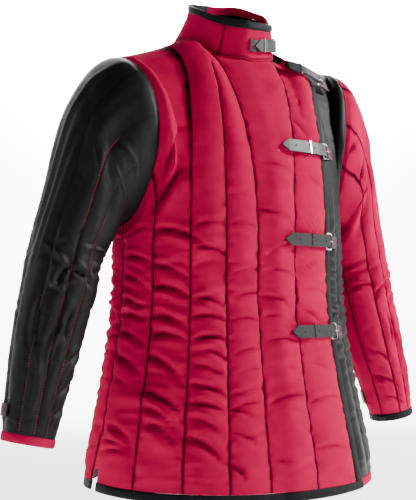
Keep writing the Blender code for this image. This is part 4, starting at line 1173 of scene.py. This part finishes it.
# Lines of the box on each cuff's strap end: from angle and t, to angle and t
CUFF_BOX = ((-8, 0.880, -8, 0.913), (10, 0.880, 10, 0.913), (-8, 0.880, 10, 0.880), (-8, 0.913, 10, 0.913))
points, faces = [], []
# Each hole is a flat near-black disc just above the leather: a painted shadow, not a cut
for strap, places in HOLES.items():
    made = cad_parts[strap + "_billet"]
    at, out = laid_on(surface_of(made), [(x, 0, middle_height(made, x)) for x in places])
    for middle, normal in zip(at, out):
        side = unit(np.cross(normal, [0, 0, 1]))
        other = np.cross(normal, side)
        faces.append(list(range(len(points), len(points) + HOLE_SIDES)))
        for a in np.linspace(0, 2 * math.pi, HOLE_SIDES, endpoint=False):
            points.append(middle + normal * 0.00012 + HOLE_R * (side * math.cos(a) + other * math.sin(a)))
add_piece("strap_hole_shadows", points, faces, HOLE_SHADOW)
print("holes", len(faces))
boxes = []
share = np.linspace(0, 1, 14)
for node, (x0, x1) in ROOTS.items():
    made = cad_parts[node]
    tree = surface_of(made)
    low, high = middle_height(made, x0), middle_height(made, x1)
    corners = ((x0, low - BOX_HALF), (x1, high - BOX_HALF), (x1, high + BOX_HALF), (x0, low + BOX_HALF))
    for i, j in ((0, 1), (3, 2), (0, 3), (1, 2), (0, 2), (3, 1)):
        (x_a, z_a), (x_b, z_b) = corners[i], corners[j]
        line = [(x_a + (x_b - x_a) * k, 0, z_a + (z_b - z_a) * k) for k in share]
        at, out = laid_on(tree, line)
        if len(at) > 3:
            boxes.append((at + out * 0.0002, out))
for side in (-1, 1):
    for a0, t0, a1, t1 in CUFF_BOX:
        boxes.append(arm_line(side, a0 + (a1 - a0) * share, t0 + (t1 - t0) * share, CUFF_STRAP_OUT))
along = np.linspace(-1.08, -1.92, 60)
line = top_seam(-1, along) + np.array([0, -0.006, 0])
line[:, 2] = 0
at, out = laid_on(surface_of(right_front), line, (0.0, 0.0, -1.0))
stitch_rows("stitches_shoulder", [(at + out * THREAD_OUT, out)], DARK_THREAD)
stitch_rows("stitches_boxes", boxes, RED_THREAD, 0.0005)

# %% [markdown]
# ## Studio
# A sweep of white paper runs under and behind the garment, and glows a little so that it stays white behind
# the dark sleeve. A small soft box in front, on the wearer's left, draws the clear edge between lit and
# shaded cloth. A weak wide fill keeps the front readable, a low light behind draws the edge of the black
# sleeve, and a wide one lights the paper.

# %% Sweep, lights and camera
def add_light(name, place, target, size, power):
    data = bpy.data.lights.new(name, "AREA")
    data.shape = "DISK"
    data.size = size
    data.energy = power
    made = bpy.data.objects.new(name, data)
    bpy.context.scene.collection.objects.link(made)
    made.location = place
    aim(made, target)
    return made


def aim(made, target):
    back = unit(np.array(made.location) - np.array(target))
    right = unit(np.cross([0, 0, 1], back))
    up = np.cross(back, right)
    from_axes = [list(row) for row in np.stack([right, up, back], axis=1)]
    made.rotation_euler = Matrix(from_axes).to_euler()


# The sweep: its floor, near edge, bend, top and half width
FLOOR_Z, SWEEP_NEAR, SWEEP_BEND, SWEEP_TOP, SWEEP_HALF = -0.86, -4.0, 2.2, 3.5, 5.0
SWEEP_R = 0.9
VIEW_TURN = math.radians(-35)
bend = [(SWEEP_BEND + SWEEP_R * math.sin(a), FLOOR_Z + SWEEP_R * (1 - math.cos(a)))
        for a in np.linspace(0, math.pi / 2, 16)]
profile = [(SWEEP_NEAR, FLOOR_Z)] + bend + [(SWEEP_BEND + SWEEP_R, SWEEP_TOP)]
c, s = math.cos(VIEW_TURN), math.sin(VIEW_TURN)
points = [(x * c - y * s, x * s + y * c, z) for y, z in profile for x in (-SWEEP_HALF, SWEEP_HALF)]
faces = [(i, i + 1, i + 3, i + 2) for i in range(0, len(points) - 2, 2)]
mesh = bpy.data.meshes.new("paper_sweep")
mesh.from_pydata(points, [], faces)
mesh.polygons.foreach_set("use_smooth", [True] * len(mesh.polygons))
paper = new_material("matt white paper", {"Roughness": 0.9, "Base Color": linear("#F6F6F6"),
                                          "Emission Color": linear("#FFFFFF"), "Emission Strength": 1.0})[0]
mesh.materials.append(paper)
sweep = bpy.data.objects.new("paper_sweep", mesh)
bpy.context.scene.collection.objects.link(sweep)

world = bpy.data.worlds.new("studio air")
world.use_nodes = True
world.node_tree.nodes["Background"].inputs["Color"].default_value = linear("#FFFFFF")
world.node_tree.nodes["Background"].inputs["Strength"].default_value = 0.05
bpy.context.scene.world = world
# Each light's name, place, target, width in metres and power in watts
LIGHTS = (
    ("soft box", (1.75, -1.15, 1.0), (0.0, -0.05, -0.3), 0.5, 115),
    ("front fill", (-0.9, -2.4, 0.2), (0, 0, -0.4), 1.2, 2),
    ("back rim", (-1.6, 0.7, 0.3), (-0.3, 0, -0.3), 0.3, 9),
    ("paper light", (1.1, 1.6, 1.6), (2.3, 4.2, 1.2), 2.4, 900),
)
for light in LIGHTS:
    add_light(*light)
print("lights", [light[0] for light in LIGHTS])

# %% [markdown]
# ## Camera
# The view is from the wearer's right, at the height of the waist and tilted up a little, with a long lens.

# %% Camera
SENSOR = 36.0
LENS = 91.64
view = bpy.data.cameras.new("camera")
view.sensor_fit = "HORIZONTAL"
view.sensor_width = SENSOR
view.lens = LENS
camera = bpy.data.objects.new("camera", view)
bpy.context.scene.collection.objects.link(camera)
CAMERA_AT = np.array([-1.0324, -1.4745, -0.43])
TO_LEFT = math.radians(1.19)
PITCH = math.radians(2.97)
heading = math.atan2(-CAMERA_AT[1], -CAMERA_AT[0]) + TO_LEFT
level = math.cos(PITCH)
forward = np.array([math.cos(heading) * level, math.sin(heading) * level, math.sin(PITCH)])
camera.location = CAMERA_AT
aim(camera, CAMERA_AT + forward)
bpy.context.scene.camera = camera
print("camera at", CAMERA_AT, "lens", LENS, "mm")
